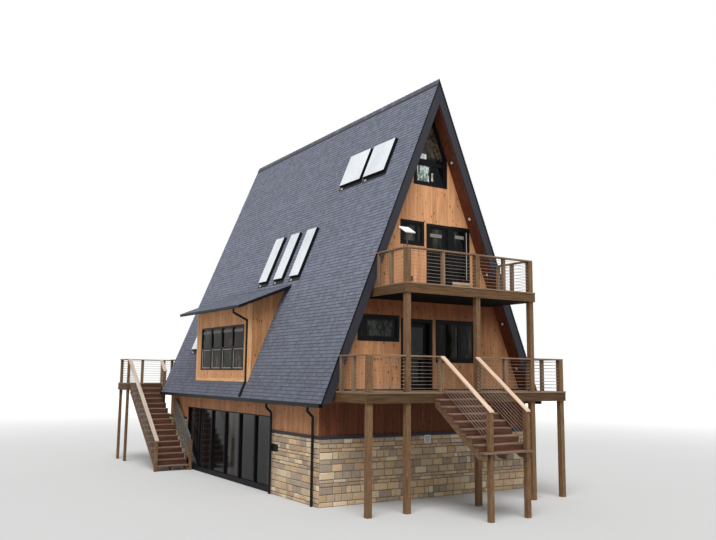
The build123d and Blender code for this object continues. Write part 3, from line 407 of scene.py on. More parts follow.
# Darker copy of the cedar: painted shade of the eave, and on the front painted shade of the deck
painted_shade_base_wood = wood("base_boards", srgb(144, 96, 62), srgb(184, 132, 94), (0.82, 1.1),
                 painted_shade=((0.5, 1.5, EAVE_LEVEL),))
trim_wood = wood("pale_trim", srgb(198, 144, 98), srgb(230, 182, 132), (0.92, 1.08), False)
inner_wood = wood("inner_boards", *CEDAR, length_axis=2, boards=(0, 0.14))
side_inner_wood = wood("inner_boards_side", *CEDAR, length_axis=2, boards=(1, 0.14))
floor_wood = wood("floor_boards", srgb(128, 84, 50), srgb(176, 124, 80), length_axis=1, boards=(0, 0.13),
                  knots=False, roughness=0.5)
post_wood = wood("stained_posts", srgb(88, 64, 43), srgb(130, 99, 69), length_axis=2, roughness=0.75)
stained_wood = wood("stained_boards", srgb(63, 44, 27), srgb(103, 76, 48), (0.8, 1.2), False, 0.75)
deck_boards = wood("deck_boards", srgb(100, 80, 64), srgb(142, 120, 98), **WORN)
tread_wood = wood("tread_boards", srgb(92, 73, 59), srgb(134, 111, 94), **WORN)
# Risers darker than the treads: painted shade under the treads
painted_shade_riser_wood = wood("riser_boards", srgb(62, 36, 26), srgb(98, 62, 46), **WORN)
rail_wood = wood("rail_boards", srgb(98, 76, 58), srgb(144, 118, 94), (0.85, 1.15), False, 0.75)
new_wood = wood("new_cap_boards", srgb(176, 148, 124), srgb(214, 190, 166), **NEW)
greyed_wood = wood("greyed_cap_boards", srgb(150, 136, 122), srgb(188, 174, 158), **NEW)
# Near-black boards: painted shade under the balcony
painted_shade_underside_wood = wood("under_boards", srgb(7, 6, 6), srgb(13, 11, 10), (0.8, 1.2), False, 0.9, specular=0.1)
grey_wood = wood("old_boards", srgb(74, 70, 68), srgb(138, 132, 126), (0.8, 1.15), False, 0.85)
stringer_wood = wood("stringer_boards", srgb(84, 60, 44), srgb(128, 98, 74), knots=False, length_axis=1)
soffit_wood = wood("soffit_boards", srgb(74, 38, 25), srgb(118, 66, 43), (0.85, 1.15), False, 0.7,
                   length_axis=2, boards=(1, 0.137))
roof_shingles = shingles("roof_shingles", srgb(101, 105, 119))
slate_trim = painted("slate_trim", srgb(48, 47, 55), 0.6, specular=0.2)
black_metal = painted("black_metal", srgb(14, 14, 18), specular=0.18)
frame_black = painted("frame_black", srgb(14, 13, 17), specular=0.12)
navy_soffit = painted("navy_soffit", srgb(22, 24, 34), 0.7, specular=0.15)
underlay = painted("roof_underlay", srgb(46, 47, 54), 0.85)
white_panel = painted("white_panel", srgb(236, 238, 240), 0.35, uneven=0.03)
blind_fabric = painted("blind_fabric", srgb(128, 124, 119), 0.85, uneven=0.06, specular=0.2)
pale_frame = painted("pale_frame", srgb(172, 164, 154), uneven=0.06)
steel = painted("cable_steel", srgb(142, 130, 119), 0.5, 0.2, uneven=0.05, specular=0.3)
hinge_steel = painted("hinge_steel", srgb(60, 60, 62), 0.35, 0.8)
handle_black = painted("handle_black", srgb(20, 20, 21), 0.35, 0.4)
antenna_paint = masted("antenna_paint", srgb(236, 238, 240), srgb(44, 50, 64))
split_stone = stone("split_stone")
mortar = concrete("mortar", srgb(112, 102, 92))
slab_concrete = concrete("slab_concrete", srgb(150, 148, 144))
# Painted reflections of woods and sky in the gable windows
PAINTED_REFLECTIONS = (
    (-0.26, 9.21, 0.25, 0.25, srgb(66, 84, 70), srgb(220, 234, 228)),
    (0.06, 10.3, 0.4, 0.62, srgb(34, 33, 27), srgb(84, 74, 60)),
    (-0.25, 9.74, 0.12, 0.08, srgb(200, 210, 212), srgb(246, 248, 248)),
    (-1.75, 4.62, 0.42, 0.22, srgb(20, 23, 22), srgb(72, 76, 71)),
    (1.3, 4.3, 0.13, 0.36, srgb(14, 16, 16), srgb(40, 43, 42)),
    (0.95, 4.3, 0.016, 0.46, srgb(66, 70, 70), srgb(96, 100, 100)),
    (0.08, 9.16, 0.04, 0.13, srgb(120, 126, 118), srgb(214, 220, 212)),
)
# Window, dormer and door glass with painted reflections
pane_glass = window_glass("pane_glass", (3.4, 3.4, 0.6), srgb(10, 11, 11), srgb(96, 92, 80), 0.85, 0.1,
                          PAINTED_REFLECTIONS)
dormer_pane = window_glass("dormer_pane", (4, 11, 3.2), srgb(24, 24, 20), srgb(136, 116, 104), 0.95, 0.06)
door_pane = window_glass("door_pane", (2.6, 2.6, 0.5), srgb(14, 14, 13), srgb(90, 80, 66), 0.6)
basement_pane = curtain_glass("basement_pane")
# Skylight glass with the sky's reflection painted on
sky_reflection_pane = sky_reflection_glass("skylight_pane")


def rectangle(start, end, low, high):
    """Corners of a rectangle in a face."""
    return [(start, low), (end, low), (end, high), (start, high)]


def rows(start, end, size):
    """Starts and ends of equal rows of about a size that fill a span."""
    count = max(1, round((end - start) / size))
    pitch = (end - start) / count
    return [(start + index * pitch, start + (index + 1) * pitch) for index in range(count)]


def gable_face(y, side=1):
    """Face that looks to the front or the back: its point at (u, level), and its outward direction."""
    return lambda u, level: (side * u, y, level), Vector((0, copysign(1, y), 0))


def side_face(x):
    """Face that looks to the left or the right."""
    return lambda u, level: (x, u, level), Vector((copysign(1, x), 0, 0))


class Pile:
    """Many small solids gathered into one mesh, each with its own tone and grain."""

    def __init__(self):
        self.points, self.grain, self.faces, self.tones = [], [], [], []

    def add(self, points, grain, faces, tone):
        """Adds points with their places in the grain, and faces that index them."""
        base = len(self.points)
        self.points += points
        self.grain += grain
        self.faces += [[base + index for index in face] for face in faces]
        self.tones += [tone] * len(faces)

    def shape(self, points, faces, along, tone=None):
        """Adds a solid whose grain runs along a direction."""
        tone = dice.random() if tone is None else tone
        along = Vector(along).normalized()
        helper = Vector((0, 0, 1)) if abs(along.z) < 0.9 else Vector((0, 1, 0))
        side = along.cross(helper).normalized()
        axes = along, side, along.cross(side)
        offset = Vector((dice.uniform(0, 40), dice.uniform(0, 40), 0))
        points = [Vector(point) for point in points]
        grain = [Vector([point.dot(axis) for axis in axes]) + offset for point in points]
        self.add(points, grain, faces, tone)

    def prism(self, outline, push, along=None, tone=None):
        """Closed solid: an outline pushed along a vector. Its grain follows the longest edge."""
        push, count = Vector(push), len(outline)
        near = [Vector(point) for point in outline]
        far = [point + push for point in near]
        ring = [(i, (i + 1) % count) for i in range(count)]
        faces = [list(range(count)), list(range(2 * count - 1, count - 1, -1))]
        faces += [[i, count + i, count + j, j] for i, j in ring]
        if along is None:
            along = max([near[j] - near[i] for i, j in ring] + [push], key=lambda edge: edge.length)
        self.shape(near + far, faces, along, tone)

    def box(self, one, other, along=None):
        """Box between two opposite corners."""
        (x0, x1), (y0, y1), (z0, z1) = (sorted(pair) for pair in zip(one, other))
        self.prism([(x, y, z0) for x, y in rectangle(x0, x1, y0, y1)], (0, 0, z1 - z0), along)

    def plank(self, start, end, width, height):
        """Plank with plumb ends whose top runs from start to end, straight over the ground."""
        level = Vector((end.x - start.x, end.y - start.y, 0)).normalized()
        side, drop = Vector((-level.y, level.x, 0)) * width, Vector((0, 0, height))
        near = [point - side / 2 for point in (start, end, end - drop, start - drop)]
        self.prism(near, side, end - start)

    def rod(self, start, end, radius, sides=8):
        start, end = Vector(start), Vector(end)
        turn = (end - start).to_track_quat("Z", "Y")
        angles = [2 * pi * i / sides for i in range(sides)]
        ring = [start + turn @ Vector((radius * cos(angle), radius * sin(angle), 0)) for angle in angles]
        self.prism(ring, end - start, end - start)

    def piece(self, name, material, slot=None, bevel=0.0, smooth=False):
        """Makes the pile's object, riding on the house."""
        mesh = bpy.data.meshes.new(name)
        mesh.from_pydata(self.points, [], self.faces)
        tones = mesh.attributes.new("tone", "FLOAT", "FACE")
        tones.data.foreach_set("value", self.tones)
        grain = mesh.attributes.new("grain", "FLOAT_VECTOR", "POINT")
        grain.data.foreach_set("vector", [value for point in self.grain for value in point])
        work = bmesh.new()
        work.from_mesh(mesh)
        bmesh.ops.recalc_face_normals(work, faces=work.faces)
        work.to_mesh(mesh)
        work.free()
        mesh.materials.append(material)
        if smooth:
            mesh.shade_smooth()
        made = bpy.data.objects.new(name, mesh)
        bpy.context.scene.collection.objects.link(made)
        if bevel:
            rounded = made.modifiers.new("bevel", "BEVEL")
            rounded.width, rounded.segments, rounded.limit_method = bevel, 2, "ANGLE"
        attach(made, "house")
        return made


# Upright siding boards
BOARD = 0.14
BOARD_THICKNESS = 0.012
BOARD_GAP = 0.004
SHORTEST_BOARD = 0.01
NARROWEST_BOARD = 0.004
CASING_LAP = 0.01


def siding(pile, face, start, end, low, high, holes=(), breaks=()):
    """Boards from start to end along a face; low and high give its bottom and top at u, and holes
    are (start, end, bottom, top)."""
    place, outward = face
    edges = [edge for hole in holes for edge in hole[:2]] + list(breaks)
    for first, last in rows(start, end, BOARD):
        first, last, tone = first + BOARD_GAP / 2, last - BOARD_GAP / 2, dice.random()
        cuts = sorted({first, last} | {edge for edge in edges if first < edge < last})
        for a, b in zip(cuts, cuts[1:]):
            spans = [[(low(a), low(b)), (high(a), high(b))]]
            for hole_start, hole_end, bottom, top in holes:
                if hole_start < (a + b) / 2 < hole_end:
                    spans = [part for foot, head in spans for part in
                             ([foot, [min(bottom, level) for level in head]],
                              [[max(top, level) for level in foot], head])]
            for foot, head in spans:
                tallest = max(head[0] - foot[0], head[1] - foot[1])
                if tallest < SHORTEST_BOARD or b - a < NARROWEST_BOARD:
                    continue
                head = max(head[0], foot[0] + 0.001), max(head[1], foot[1] + 0.001)
                corners = [place(a, foot[0]), place(b, foot[1]), place(b, head[1]), place(a, head[0])]
                pile.prism(corners, outward * BOARD_THICKNESS, (0, 0, 1), tone)


def lapped(unit):
    """Hole in the boards under a casing's edge."""
    left, right, bottom, top = unit
    return left + CASING_LAP, right - CASING_LAP, bottom + CASING_LAP, top - CASING_LAP


# Openings of the gables, each as (left, right, bottom, top)
MAIN_SILL = MAIN_LEVEL - CASING_LAP
UPPER_SILL = UPPER_LEVEL - CASING_LAP
DOOR_UNIT = (-1.06, 0.05, MAIN_SILL, 4.94)
ATTIC_UNIT = (-0.615, 0.615, 8.86, RIDGE_LEVEL)
BALCONY_DOOR_UNIT = (-0.16, 0.72, UPPER_SILL, 7.74)
BALCONY_WINDOW_UNIT = (0.77, 1.4, UPPER_SILL, 7.75)
FRONT_UNITS = [DOOR_UNIT, (-2.5, -1.12, 4.27, 5.0), (0.17, 1.69, 3.72, 4.95), (-1.09, -0.24, 7.05, 7.77),
               BALCONY_DOOR_UNIT, BALCONY_WINDOW_UNIT, ATTIC_UNIT]
BACK_UNITS = [(-2.5, -1.12, 4.27, 5.0), (1.12, 2.5, 4.27, 5.0), (-0.9, -0.03, MAIN_SILL, 4.94),
              (0.03, 0.9, MAIN_SILL, 4.94), (-1.2, -0.06, 6.62, 7.77), (0.06, 1.2, 6.62, 7.77), ATTIC_UNIT]
GLAZING = (-2.86, 3.86)
GLAZING_HEAD = 2.15
SIDE_WINDOWS = [FRONT_FACE + share * (BACK_FACE - FRONT_FACE) for share in (0.25, 0.5, 0.75)]
SIDE_WINDOW_HALF = 0.55
SIDE_WINDOW = (1.86, 2.51)
SHOULDER = inner_x(EAVE_LEVEL)


def gable_top(u):
    """Top of a gable's boards at u, at the roof's inner face."""
    return INNER_RIDGE - abs(u) * tan(SLOPE)


def level_at(value):
    return lambda u: value


boards, base_boards = Pile(), Pile()
base_span = level_at(LEDGE_TOP), level_at(EAVE_LEVEL)
for y, units in ((FRONT_FACE, FRONT_UNITS), (BACK_FACE, BACK_UNITS)):
    siding(boards, gable_face(y), -SHOULDER, SHOULDER, level_at(EAVE_LEVEL), gable_top,
           [lapped(unit) for unit in units], (0,))
    siding(base_boards, gable_face(y), -BASEMENT_HALF, BASEMENT_HALF, *base_span)
left_holes = [(*GLAZING, 0, GLAZING_HEAD)]
right_holes = [lapped((y - SIDE_WINDOW_HALF, y + SIDE_WINDOW_HALF, *SIDE_WINDOW)) for y in SIDE_WINDOWS]
for x, holes in ((-BASEMENT_HALF, left_holes), (BASEMENT_HALF, right_holes)):
    siding(base_boards, side_face(x), FRONT_FACE, BACK_FACE, *base_span, holes)
boards.piece("wall_boards", siding_wood, "siding")
base_boards.piece("base_boards", painted_shade_base_wood, "siding")

# Dormers: boards, pale corner and foot trims
DORMER_FRONT = 3.66
DORMER_START = -1.27
DORMER_END = 3.01
DORMER_OVERHANG = 0.41
DORMER_EAVE_X = 4.2
DORMER_EAVE_LEVEL = 5.41
DORMER_SLOPE = radians(22.3)
DORMER_ROOF_THICKNESS = 0.08
DORMER_WINDOW = (-0.95, 2.61, 3.46, 4.89)
DORMER_DROP = DORMER_ROOF_THICKNESS / cos(DORMER_SLOPE)
TRIM_WIDTH = 0.1
TRIM_THICKNESS = 0.022


def dormer_top(x):
    """Level of the dormer roof's top at a distance from the ridge line."""
    return DORMER_EAVE_LEVEL + (DORMER_EAVE_X - x) * tan(DORMER_SLOPE)


def dormer_under(x):
    return dormer_top(x) - DORMER_DROP


def roofs_meet(drop):
    """Distance from the ridge line where the main roof cuts the dormer roof's line at a drop."""
    rise = RIDGE_LEVEL - DORMER_EAVE_LEVEL + drop - DORMER_EAVE_X * tan(DORMER_SLOPE)
    return rise / (tan(SLOPE) - tan(DORMER_SLOPE))


dormer_boards, cheek_boards, dormer_trim = Pile(), Pile(), Pile()
foot, head = roof_level(DORMER_FRONT), dormer_under(DORMER_FRONT)
trim_head = head - 0.01
for side in (-1, 1):
    front, proud = side * DORMER_FRONT, side * (DORMER_FRONT + TRIM_THICKNESS)
    siding(dormer_boards, side_face(front), DORMER_START, DORMER_END, level_at(foot), level_at(head),
           [lapped(DORMER_WINDOW)])
    for y, outward in ((DORMER_START, -1), (DORMER_END, 1)):
        siding(cheek_boards, gable_face(y, side), roofs_meet(DORMER_DROP), DORMER_FRONT, roof_level,
               dormer_under)
        dormer_trim.box((front, y, foot), (proud, y - outward * TRIM_WIDTH, trim_head))
        dormer_trim.box((front - side * TRIM_WIDTH, y, foot),
                        (proud, y + outward * TRIM_THICKNESS, trim_head))
    dormer_trim.box((front, DORMER_START + TRIM_WIDTH, foot),
                    (proud, DORMER_END - TRIM_WIDTH, foot + TRIM_WIDTH))
dormer_boards.piece("dormer_boards", siding_wood, "siding")
cheek_boards.piece("cheek_boards", painted_shade_cheek_wood, "siding")
dormer_trim.piece("dormer_trim", trim_wood, "siding", bevel=0.003)

# Shingles: courses of tabs with a thick lower edge
EXPOSURE = 0.107
TAB_MIN, TAB_MAX = 0.075, 0.19
TAB_GAP = 0.005
TAB_BUTT = 0.01
TAB_HEAD = 0.002
TAB_SLIVER = 0.004
TAB_FACES = ((0, 1, 2, 3), (4, 5, 1, 0), (5, 6, 2, 1), (7, 4, 0, 3))


def without(part, hole):
    """Rectangles that a hole leaves of a rectangle, all as (start, end, low, high)."""
    a, b, c, d = part
    h0, h1, g0, g1 = hole
    if b <= h0 or a >= h1 or d <= g0 or c >= g1:
        return [part]
    rest = ((a, min(b, h0), c, d), (max(a, h1), b, c, d), (max(a, h0), min(b, h1), c, min(d, g0)),
            (max(a, h0), min(b, h1), max(c, g1), d))
    return [(a, b, c, d) for a, b, c, d in rest if b - a > TAB_SLIVER and d - c > TAB_SLIVER]


def shingle_field(pile, corner, axes, width, length, holes=()):
    """Courses of tabs over a slope from its lower front corner; axes lead up it and out of it."""
    up, out = axes

    def tab(u0, u1, v0, v1, course, butt, tone):
        spots = [(u, v, (v - course) / EXPOSURE) for u, v in rectangle(u0, u1, v0, v1)]
        feet = [corner + Vector((0, u, 0)) + up * v for u, v, share in spots]
        tops = [foot + out * (butt + (TAB_HEAD - butt) * min(1, spot[2])) for foot, spot in zip(feet, spots)]
        pile.add(tops + feet, [Vector((u, share, 0)) for u, v, share in spots] * 2, TAB_FACES, tone)

    for row in range(int(length / EXPOSURE) + 1):
        v0, v1 = row * EXPOSURE, min((row + 1) * EXPOSURE, length)
        if v1 - v0 < 0.01:
            continue
        u, row_tone = 0.0, dice.uniform(-0.08, 0.08)
        while u < width:
            u_next = u + dice.uniform(TAB_MIN, TAB_MAX)
            if width - u_next < TAB_MIN:
                u_next = width
            tone = min(1, max(0, dice.random() + row_tone))
            butt = TAB_BUTT * dice.uniform(0.65, 1.2)
            parts = [(u, u_next - TAB_GAP, v0, v1)]
            for hole in holes:
                parts = [rest for part in parts for rest in without(part, hole)]
            for part in parts:
                tab(*part, v0, butt, tone)
            u = u_next


# Skylights as (distance from the front rake, width, height up the slope, length)
SKYLIGHTS = [(1.16, 1.14, 7.24, 1.15), (2.48, 1.19, 7.24, 1.15), (4.12, 0.62, 4.09, 1.73),
             (5.25, 0.62, 4.09, 1.73), (6.38, 0.62, 4.09, 1.73), (10.11, 0.62, 1.69, 1.15)]
SHINGLE_OVERHANG = 0.012
RIDGE_COVER = 0.12
front_edge = ROOF_HALF_LENGTH + SHINGLE_OVERHANG
roof_holes = [(DORMER_START + front_edge, DORMER_END + front_edge, (EAVE_HALF - DORMER_FRONT) / cos(SLOPE),
               (EAVE_HALF - roofs_meet(0)) / cos(SLOPE))]
roof_holes += [(along + SHINGLE_OVERHANG, along + width + SHINGLE_OVERHANG, low, low + length)
               for along, width, low, length in SKYLIGHTS]
for side, name in ((-1, "shingles_left"), (1, "shingles_right")):
    field = Pile()
    shingle_field(field, Vector((side * EAVE_HALF, -front_edge, EAVE_LEVEL)), slope_axes(side),
                  2 * front_edge, SLOPE_LENGTH - RIDGE_COVER, roof_holes)
    field.piece(name, roof_shingles, "shingle")

# Dormer roofs, and dark metal: their edges, the drip edges of the main rakes, the skylights' flashing
DRIP_HEIGHT = 0.07
DRIP_PROUD = 0.006
RAKE_DRIP_HEIGHT = 0.045
RAKE_DRIP_PROUD = 0.008
ON_SHINGLES = 0.012
APRON_SIDE, APRON_LENGTH, APRON_THICKNESS = 0.06, 0.13, 0.006
STRIP_WIDTH, STRIP_THICKNESS = 0.045, 0.004


def slab(pile, side, spots, lift, thickness):
    """Flat solid over a slope of the main roof; spots are (along the eave, up the slope)."""
    pile.prism([on_roof(side, *spot, lift) for spot in spots], slope_axes(side)[1] * thickness)


dormer_field, roof_edges = Pile(), Pile()
dormer_length = (DORMER_EAVE_X - roofs_meet(0)) / cos(DORMER_SLOPE)
start_y, end_y = DORMER_START - DORMER_OVERHANG, DORMER_END + DORMER_OVERHANG
for side in (-1, 1):
    eave_x, inner = side * DORMER_EAVE_X, roofs_meet(0) + 0.03
    shingle_field(dormer_field, Vector((eave_x + side * SHINGLE_OVERHANG, start_y, DORMER_EAVE_LEVEL)),
                  slope_axes(side, DORMER_SLOPE), end_y - start_y, dormer_length)
    roof_edges.box((eave_x, start_y, DORMER_EAVE_LEVEL - DRIP_HEIGHT),
                   (eave_x + side * DRIP_PROUD, end_y, DORMER_EAVE_LEVEL))
    for y, outward in ((start_y, -1), (end_y, 1)):
        top = [(eave_x, DORMER_EAVE_LEVEL), (side * inner, dormer_top(inner))]
        under = [(x, level - DRIP_HEIGHT) for x, level in reversed(top)]
        roof_edges.prism([(x, y, level) for x, level in top + under], (0, outward * DRIP_PROUD, 0))
    for outward in (-1, 1):
        outline = [(side * EAVE_HALF, EAVE_LEVEL), (0, RIDGE_LEVEL),
                   (0, RIDGE_LEVEL - RAKE_DRIP_HEIGHT / cos(SLOPE)),
                   (side * (EAVE_HALF - RAKE_DRIP_HEIGHT / sin(SLOPE)), EAVE_LEVEL)]
        roof_edges.prism([(x, outward * ROOF_HALF_LENGTH, level) for x, level in outline],
                         (0, outward * RAKE_DRIP_PROUD, 0))
    for along, width, low, length in SKYLIGHTS:
        apron = rectangle(along - APRON_SIDE, along + width + APRON_SIDE, low - APRON_LENGTH, low)
        slab(roof_edges, side, apron, ON_SHINGLES, APRON_THICKNESS)
        for start in (along - STRIP_WIDTH, along + width):
            slab(roof_edges, side, rectangle(start, start + STRIP_WIDTH, low, low + length), ON_SHINGLES,
                 STRIP_THICKNESS)
dormer_field.piece("shingles_dormers", roof_shingles, "shingle")
roof_edges.piece("roof_edges", black_metal, "gutter_black")

# Glazed covers that lap the skylights' curbs, with the sky's reflection painted on, and a pale clip on the
# flashing under each, a painted highlight
CURB_HEIGHT = 0.09
COVER_INSET = 0.012
COVER_THICKNESS = 0.008
CLIP_OUTLINE = ((-0.05, -0.03), (0.05, -0.03), (0.06, 0.0), (0.04, 0.04), (-0.04, 0.04), (-0.06, 0.0))
CLIP_FROM_END, CLIP_BELOW = 0.12, 0.1
CLIP_LIFT, CLIP_THICKNESS = 0.018, 0.022
covers, highlight_clips = Pile(), Pile()
for side in (-1, 1):
    for along, width, low, length in SKYLIGHTS:
        slab(covers, side, rectangle(along + COVER_INSET, along + width - COVER_INSET, low + COVER_INSET,
                                     low + length - COVER_INSET), CURB_HEIGHT, COVER_THICKNESS)
        centre, height = along + width - CLIP_FROM_END, low - CLIP_BELOW
        # Pale clip: a painted highlight on the flashing
        slab(highlight_clips, side, [(centre + y, height + up) for y, up in CLIP_OUTLINE], CLIP_LIFT, CLIP_THICKNESS)
highlight_clips.piece("flashing_highlight_clips", pale_frame, "panel_white", bevel=0.006)
covers.piece("skylight_covers", sky_reflection_pane, "glass", bevel=0.003)

# Ridge: folded shingle caps, each over the next
CAP_EXPOSURE = 0.2
CAP_LEG = 0.15
CAP_FRONT_LIFT, CAP_BACK_LIFT = 0.006, 0.002
CAP_FACES = [(0, 1, 2, 3), (4, 5, 6, 7), (0, 1, 5, 4), (1, 2, 6, 5), (2, 3, 7, 6)]
caps = Pile()
for y0, y1 in rows(-ROOF_HALF_LENGTH, ROOF_HALF_LENGTH, CAP_EXPOSURE):
    for side in (-1, 1):
        up, out = slope_axes(side)
        points = []
        for y, lift in ((y0, CAP_FRONT_LIFT), (y1, CAP_BACK_LIFT)):
            peak = Vector((0, y, RIDGE_LEVEL + ON_SHINGLES / cos(SLOPE)))
            foot = peak - up * CAP_LEG
            points += [peak + Vector((0, 0, lift / cos(SLOPE))), foot + out * lift, foot, peak]
        caps.shape(points, CAP_FACES, (0, 1, 0))
caps.piece("ridge_shingles", roof_shingles, "shingle")

# Decks: boards with gaps over joists and rims
RAKE_GAP = 0.02
POST = 0.14
RAIL_POST = 0.092
RIM_WIDTH = 0.04
RIM_HEIGHT = 0.232
DECK_BOARD = 0.14
DECK_GAP = 0.006
DECK_BOARD_THICKNESS = 0.038
NOSE = 0.016
SLIT = 0.002
JOINT_MARGIN = 0.8
JOIST_PITCH = 0.48
JOIST_WIDTH = 0.04
DECK_FRONT = -7.585
DECK_HALF = inner_x(MAIN_LEVEL) - RAKE_GAP
BALCONY_HALF = inner_x(UPPER_LEVEL) - RAKE_GAP
BACK_DECK_END = BACK_FACE + 2.2
BACK_STAIR_LEFT = -4.95
BACK_STAIR_RIGHT = -3.72
LANDING_LEFT = BACK_STAIR_LEFT - RAIL_POST / 2 - RIM_WIDTH
LANDING_START = ROOF_HALF_LENGTH + 0.61
ACROSS, LENGTHWISE, UPRIGHT = (1, 0, 0), (0, 1, 0), (0, 0, 1)
deck_tops, deck_frames = Pile(), Pile()


def deck_surface(left, right, start, end, level, nose=0):
    """Boards across X over a rim and joists; a nose of boards stands past the front rim."""
    under, under_rim = level - DECK_BOARD_THICKNESS, level - DECK_BOARD_THICKNESS - RIM_HEIGHT
    for y0, y1 in rows(start - nose, end, DECK_BOARD + DECK_GAP):
        joint = dice.uniform(left + JOINT_MARGIN, right - JOINT_MARGIN)
        for x0, x1 in ((left, joint - SLIT), (joint + SLIT, right)):
            deck_tops.box((x0, y0 + DECK_GAP / 2, under), (x1, y1 - DECK_GAP / 2, level), ACROSS)
    inner_start, inner_end, frame_top = start + RIM_WIDTH, end - RIM_WIDTH, under - SLIT
    for y0, y1 in ((start, inner_start), (inner_end, end)):
        deck_frames.box((left, y0, under_rim), (right, y1, frame_top), ACROSS)
    bays = max(1, round((right - left) / JOIST_PITCH))
    for index in range(bays + 1):
        x = left + index * (right - left - JOIST_WIDTH) / bays
        deck_frames.box((x, inner_start, under_rim), (x + JOIST_WIDTH, inner_end, frame_top), LENGTHWISE)


for half, level in ((DECK_HALF, MAIN_LEVEL), (BALCONY_HALF, UPPER_LEVEL)):
    deck_surface(-half, half, DECK_FRONT, FRONT_FACE, level, NOSE)
deck_surface(-DECK_HALF, DECK_HALF, BACK_FACE, BACK_DECK_END, MAIN_LEVEL)
deck_surface(LANDING_LEFT, -DECK_HALF, LANDING_START, BACK_DECK_END, MAIN_LEVEL)
made = deck_tops.piece("deck_boards", deck_boards, "deck_wood", bevel=0.003)
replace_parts(made, "front_deck", "balcony", "back_deck", "stair_landing")
deck_frames.piece("deck_frames", stained_wood, "deck_wood", bevel=0.003)

# Near-black boards that close the balcony from below: painted shade of its underside
UNDER_BOARD = 0.145
UNDER_THICKNESS = 0.012
under_boards = Pile()
under_level = UPPER_LEVEL - DECK_BOARD_THICKNESS - RIM_HEIGHT - SLIT
under_half = BALCONY_HALF - RIM_WIDTH
for y0, y1 in rows(DECK_FRONT + RIM_WIDTH, FRONT_FACE, UNDER_BOARD):
    under_boards.box((-under_half, y0 + SLIT, under_level - UNDER_THICKNESS),
                     (under_half, y1 - SLIT, under_level), ACROSS)
under_boards.piece("balcony_underside", painted_shade_underside_wood, "deck_wood")

# Rails: cap, posts and round cables
RAIL_HEIGHT = 0.92
CAP_WIDTH = 0.14
CAP_HEIGHT = 0.038
CABLE_COUNT = 9
CABLE_PITCH = RAIL_HEIGHT / (CABLE_COUNT + 1)
CABLE_RADIUS = 0.005
FERRULE_RADIUS = 0.011
FERRULE_LENGTH = 0.06


def strung(wires, start, end):
    """Cables between two floor points, with a ferrule at each end."""
    start, end = Vector(start), Vector(end)
    along = (end - start).normalized() * FERRULE_LENGTH
    for index in range(1, CABLE_COUNT + 1):
        lift = Vector((0, 0, index * CABLE_PITCH))
        wires.rod(start + lift, end + lift, CABLE_RADIUS)
        wires.rod(start + lift, start + lift + along, FERRULE_RADIUS)
        wires.rod(end + lift - along, end + lift, FERRULE_RADIUS)


def railing(planks, wires, start, end, level, posts=(), reach=(0, 0)):
    """Level rail between two places on a floor, with posts at distances from its start."""
    start, end = Vector((*start, level)), Vector((*end, level))
    along, lift = (end - start).normalized(), Vector((0, 0, RAIL_HEIGHT))
    planks.plank(start + lift - along * reach[0], end + lift + along * reach[1], CAP_WIDTH, CAP_HEIGHT)
    half = Vector((RAIL_POST / 2, RAIL_POST / 2, 0))
    for distance in posts:
        foot = start + along * distance
        planks.box(foot - half, foot + half + Vector((0, 0, RAIL_HEIGHT - CAP_HEIGHT)), UPRIGHT)
    strung(wires, start, end)


POST_Y = DECK_FRONT + RIM_WIDTH
RAIL_Y = POST_Y + POST / 2
BALCONY_POSTS = [-BALCONY_HALF + RIM_WIDTH, 0.1, BALCONY_HALF - RIM_WIDTH - POST]
DECK_POSTS = [-DECK_HALF + RIM_WIDTH, BALCONY_POSTS[0], BALCONY_POSTS[2], DECK_HALF - RIM_WIDTH - POST]
SIDE_RAIL_END = -ROOF_HALF_LENGTH - RAKE_GAP
SIDE_RAIL_LENGTH = SIDE_RAIL_END - POST_Y - POST
DECK_CORNER_X = DECK_HALF - RIM_WIDTH - POST / 2
BALCONY_CORNER_X = BALCONY_HALF - RIM_WIDTH - POST / 2
STAIR_LEFT = -1.1
STAIR_RIGHT = 0.08
rail_planks, wires, back_planks, back_wires = Pile(), Pile(), Pile(), Pile()

left_post, middle_post, right_post = (x + POST for x in BALCONY_POSTS)
half_gap = (BALCONY_POSTS[2] - middle_post) / 2
runs = [(DECK_POSTS[0] + POST, BALCONY_POSTS[0], MAIN_LEVEL, (), (POST, 0)),
        (left_post, STAIR_LEFT, MAIN_LEVEL, (STAIR_LEFT - left_post,), (0, RAIL_POST / 2)),
        (middle_post, BALCONY_POSTS[2], MAIN_LEVEL, (half_gap,), (0, 0)),
        (right_post, DECK_POSTS[3], MAIN_LEVEL, (), (0, POST)),
        (left_post, BALCONY_POSTS[1], UPPER_LEVEL, ((BALCONY_POSTS[1] - left_post) / 2,), (POST, POST / 2)),
        (middle_post, BALCONY_POSTS[2], UPPER_LEVEL, (half_gap,), (POST / 2, POST))]
for near, far, level, posts, reach in runs:
    railing(rail_planks, wires, (near, RAIL_Y), (far, RAIL_Y), level, posts, reach)
for side in (-1, 1):
    for corner, level in ((side * DECK_CORNER_X, MAIN_LEVEL), (side * BALCONY_CORNER_X, UPPER_LEVEL)):
        railing(rail_planks, wires, (corner, POST_Y + POST), (corner, SIDE_RAIL_END), level,
                (SIDE_RAIL_LENGTH / 2, SIDE_RAIL_LENGTH - RAIL_POST / 2))

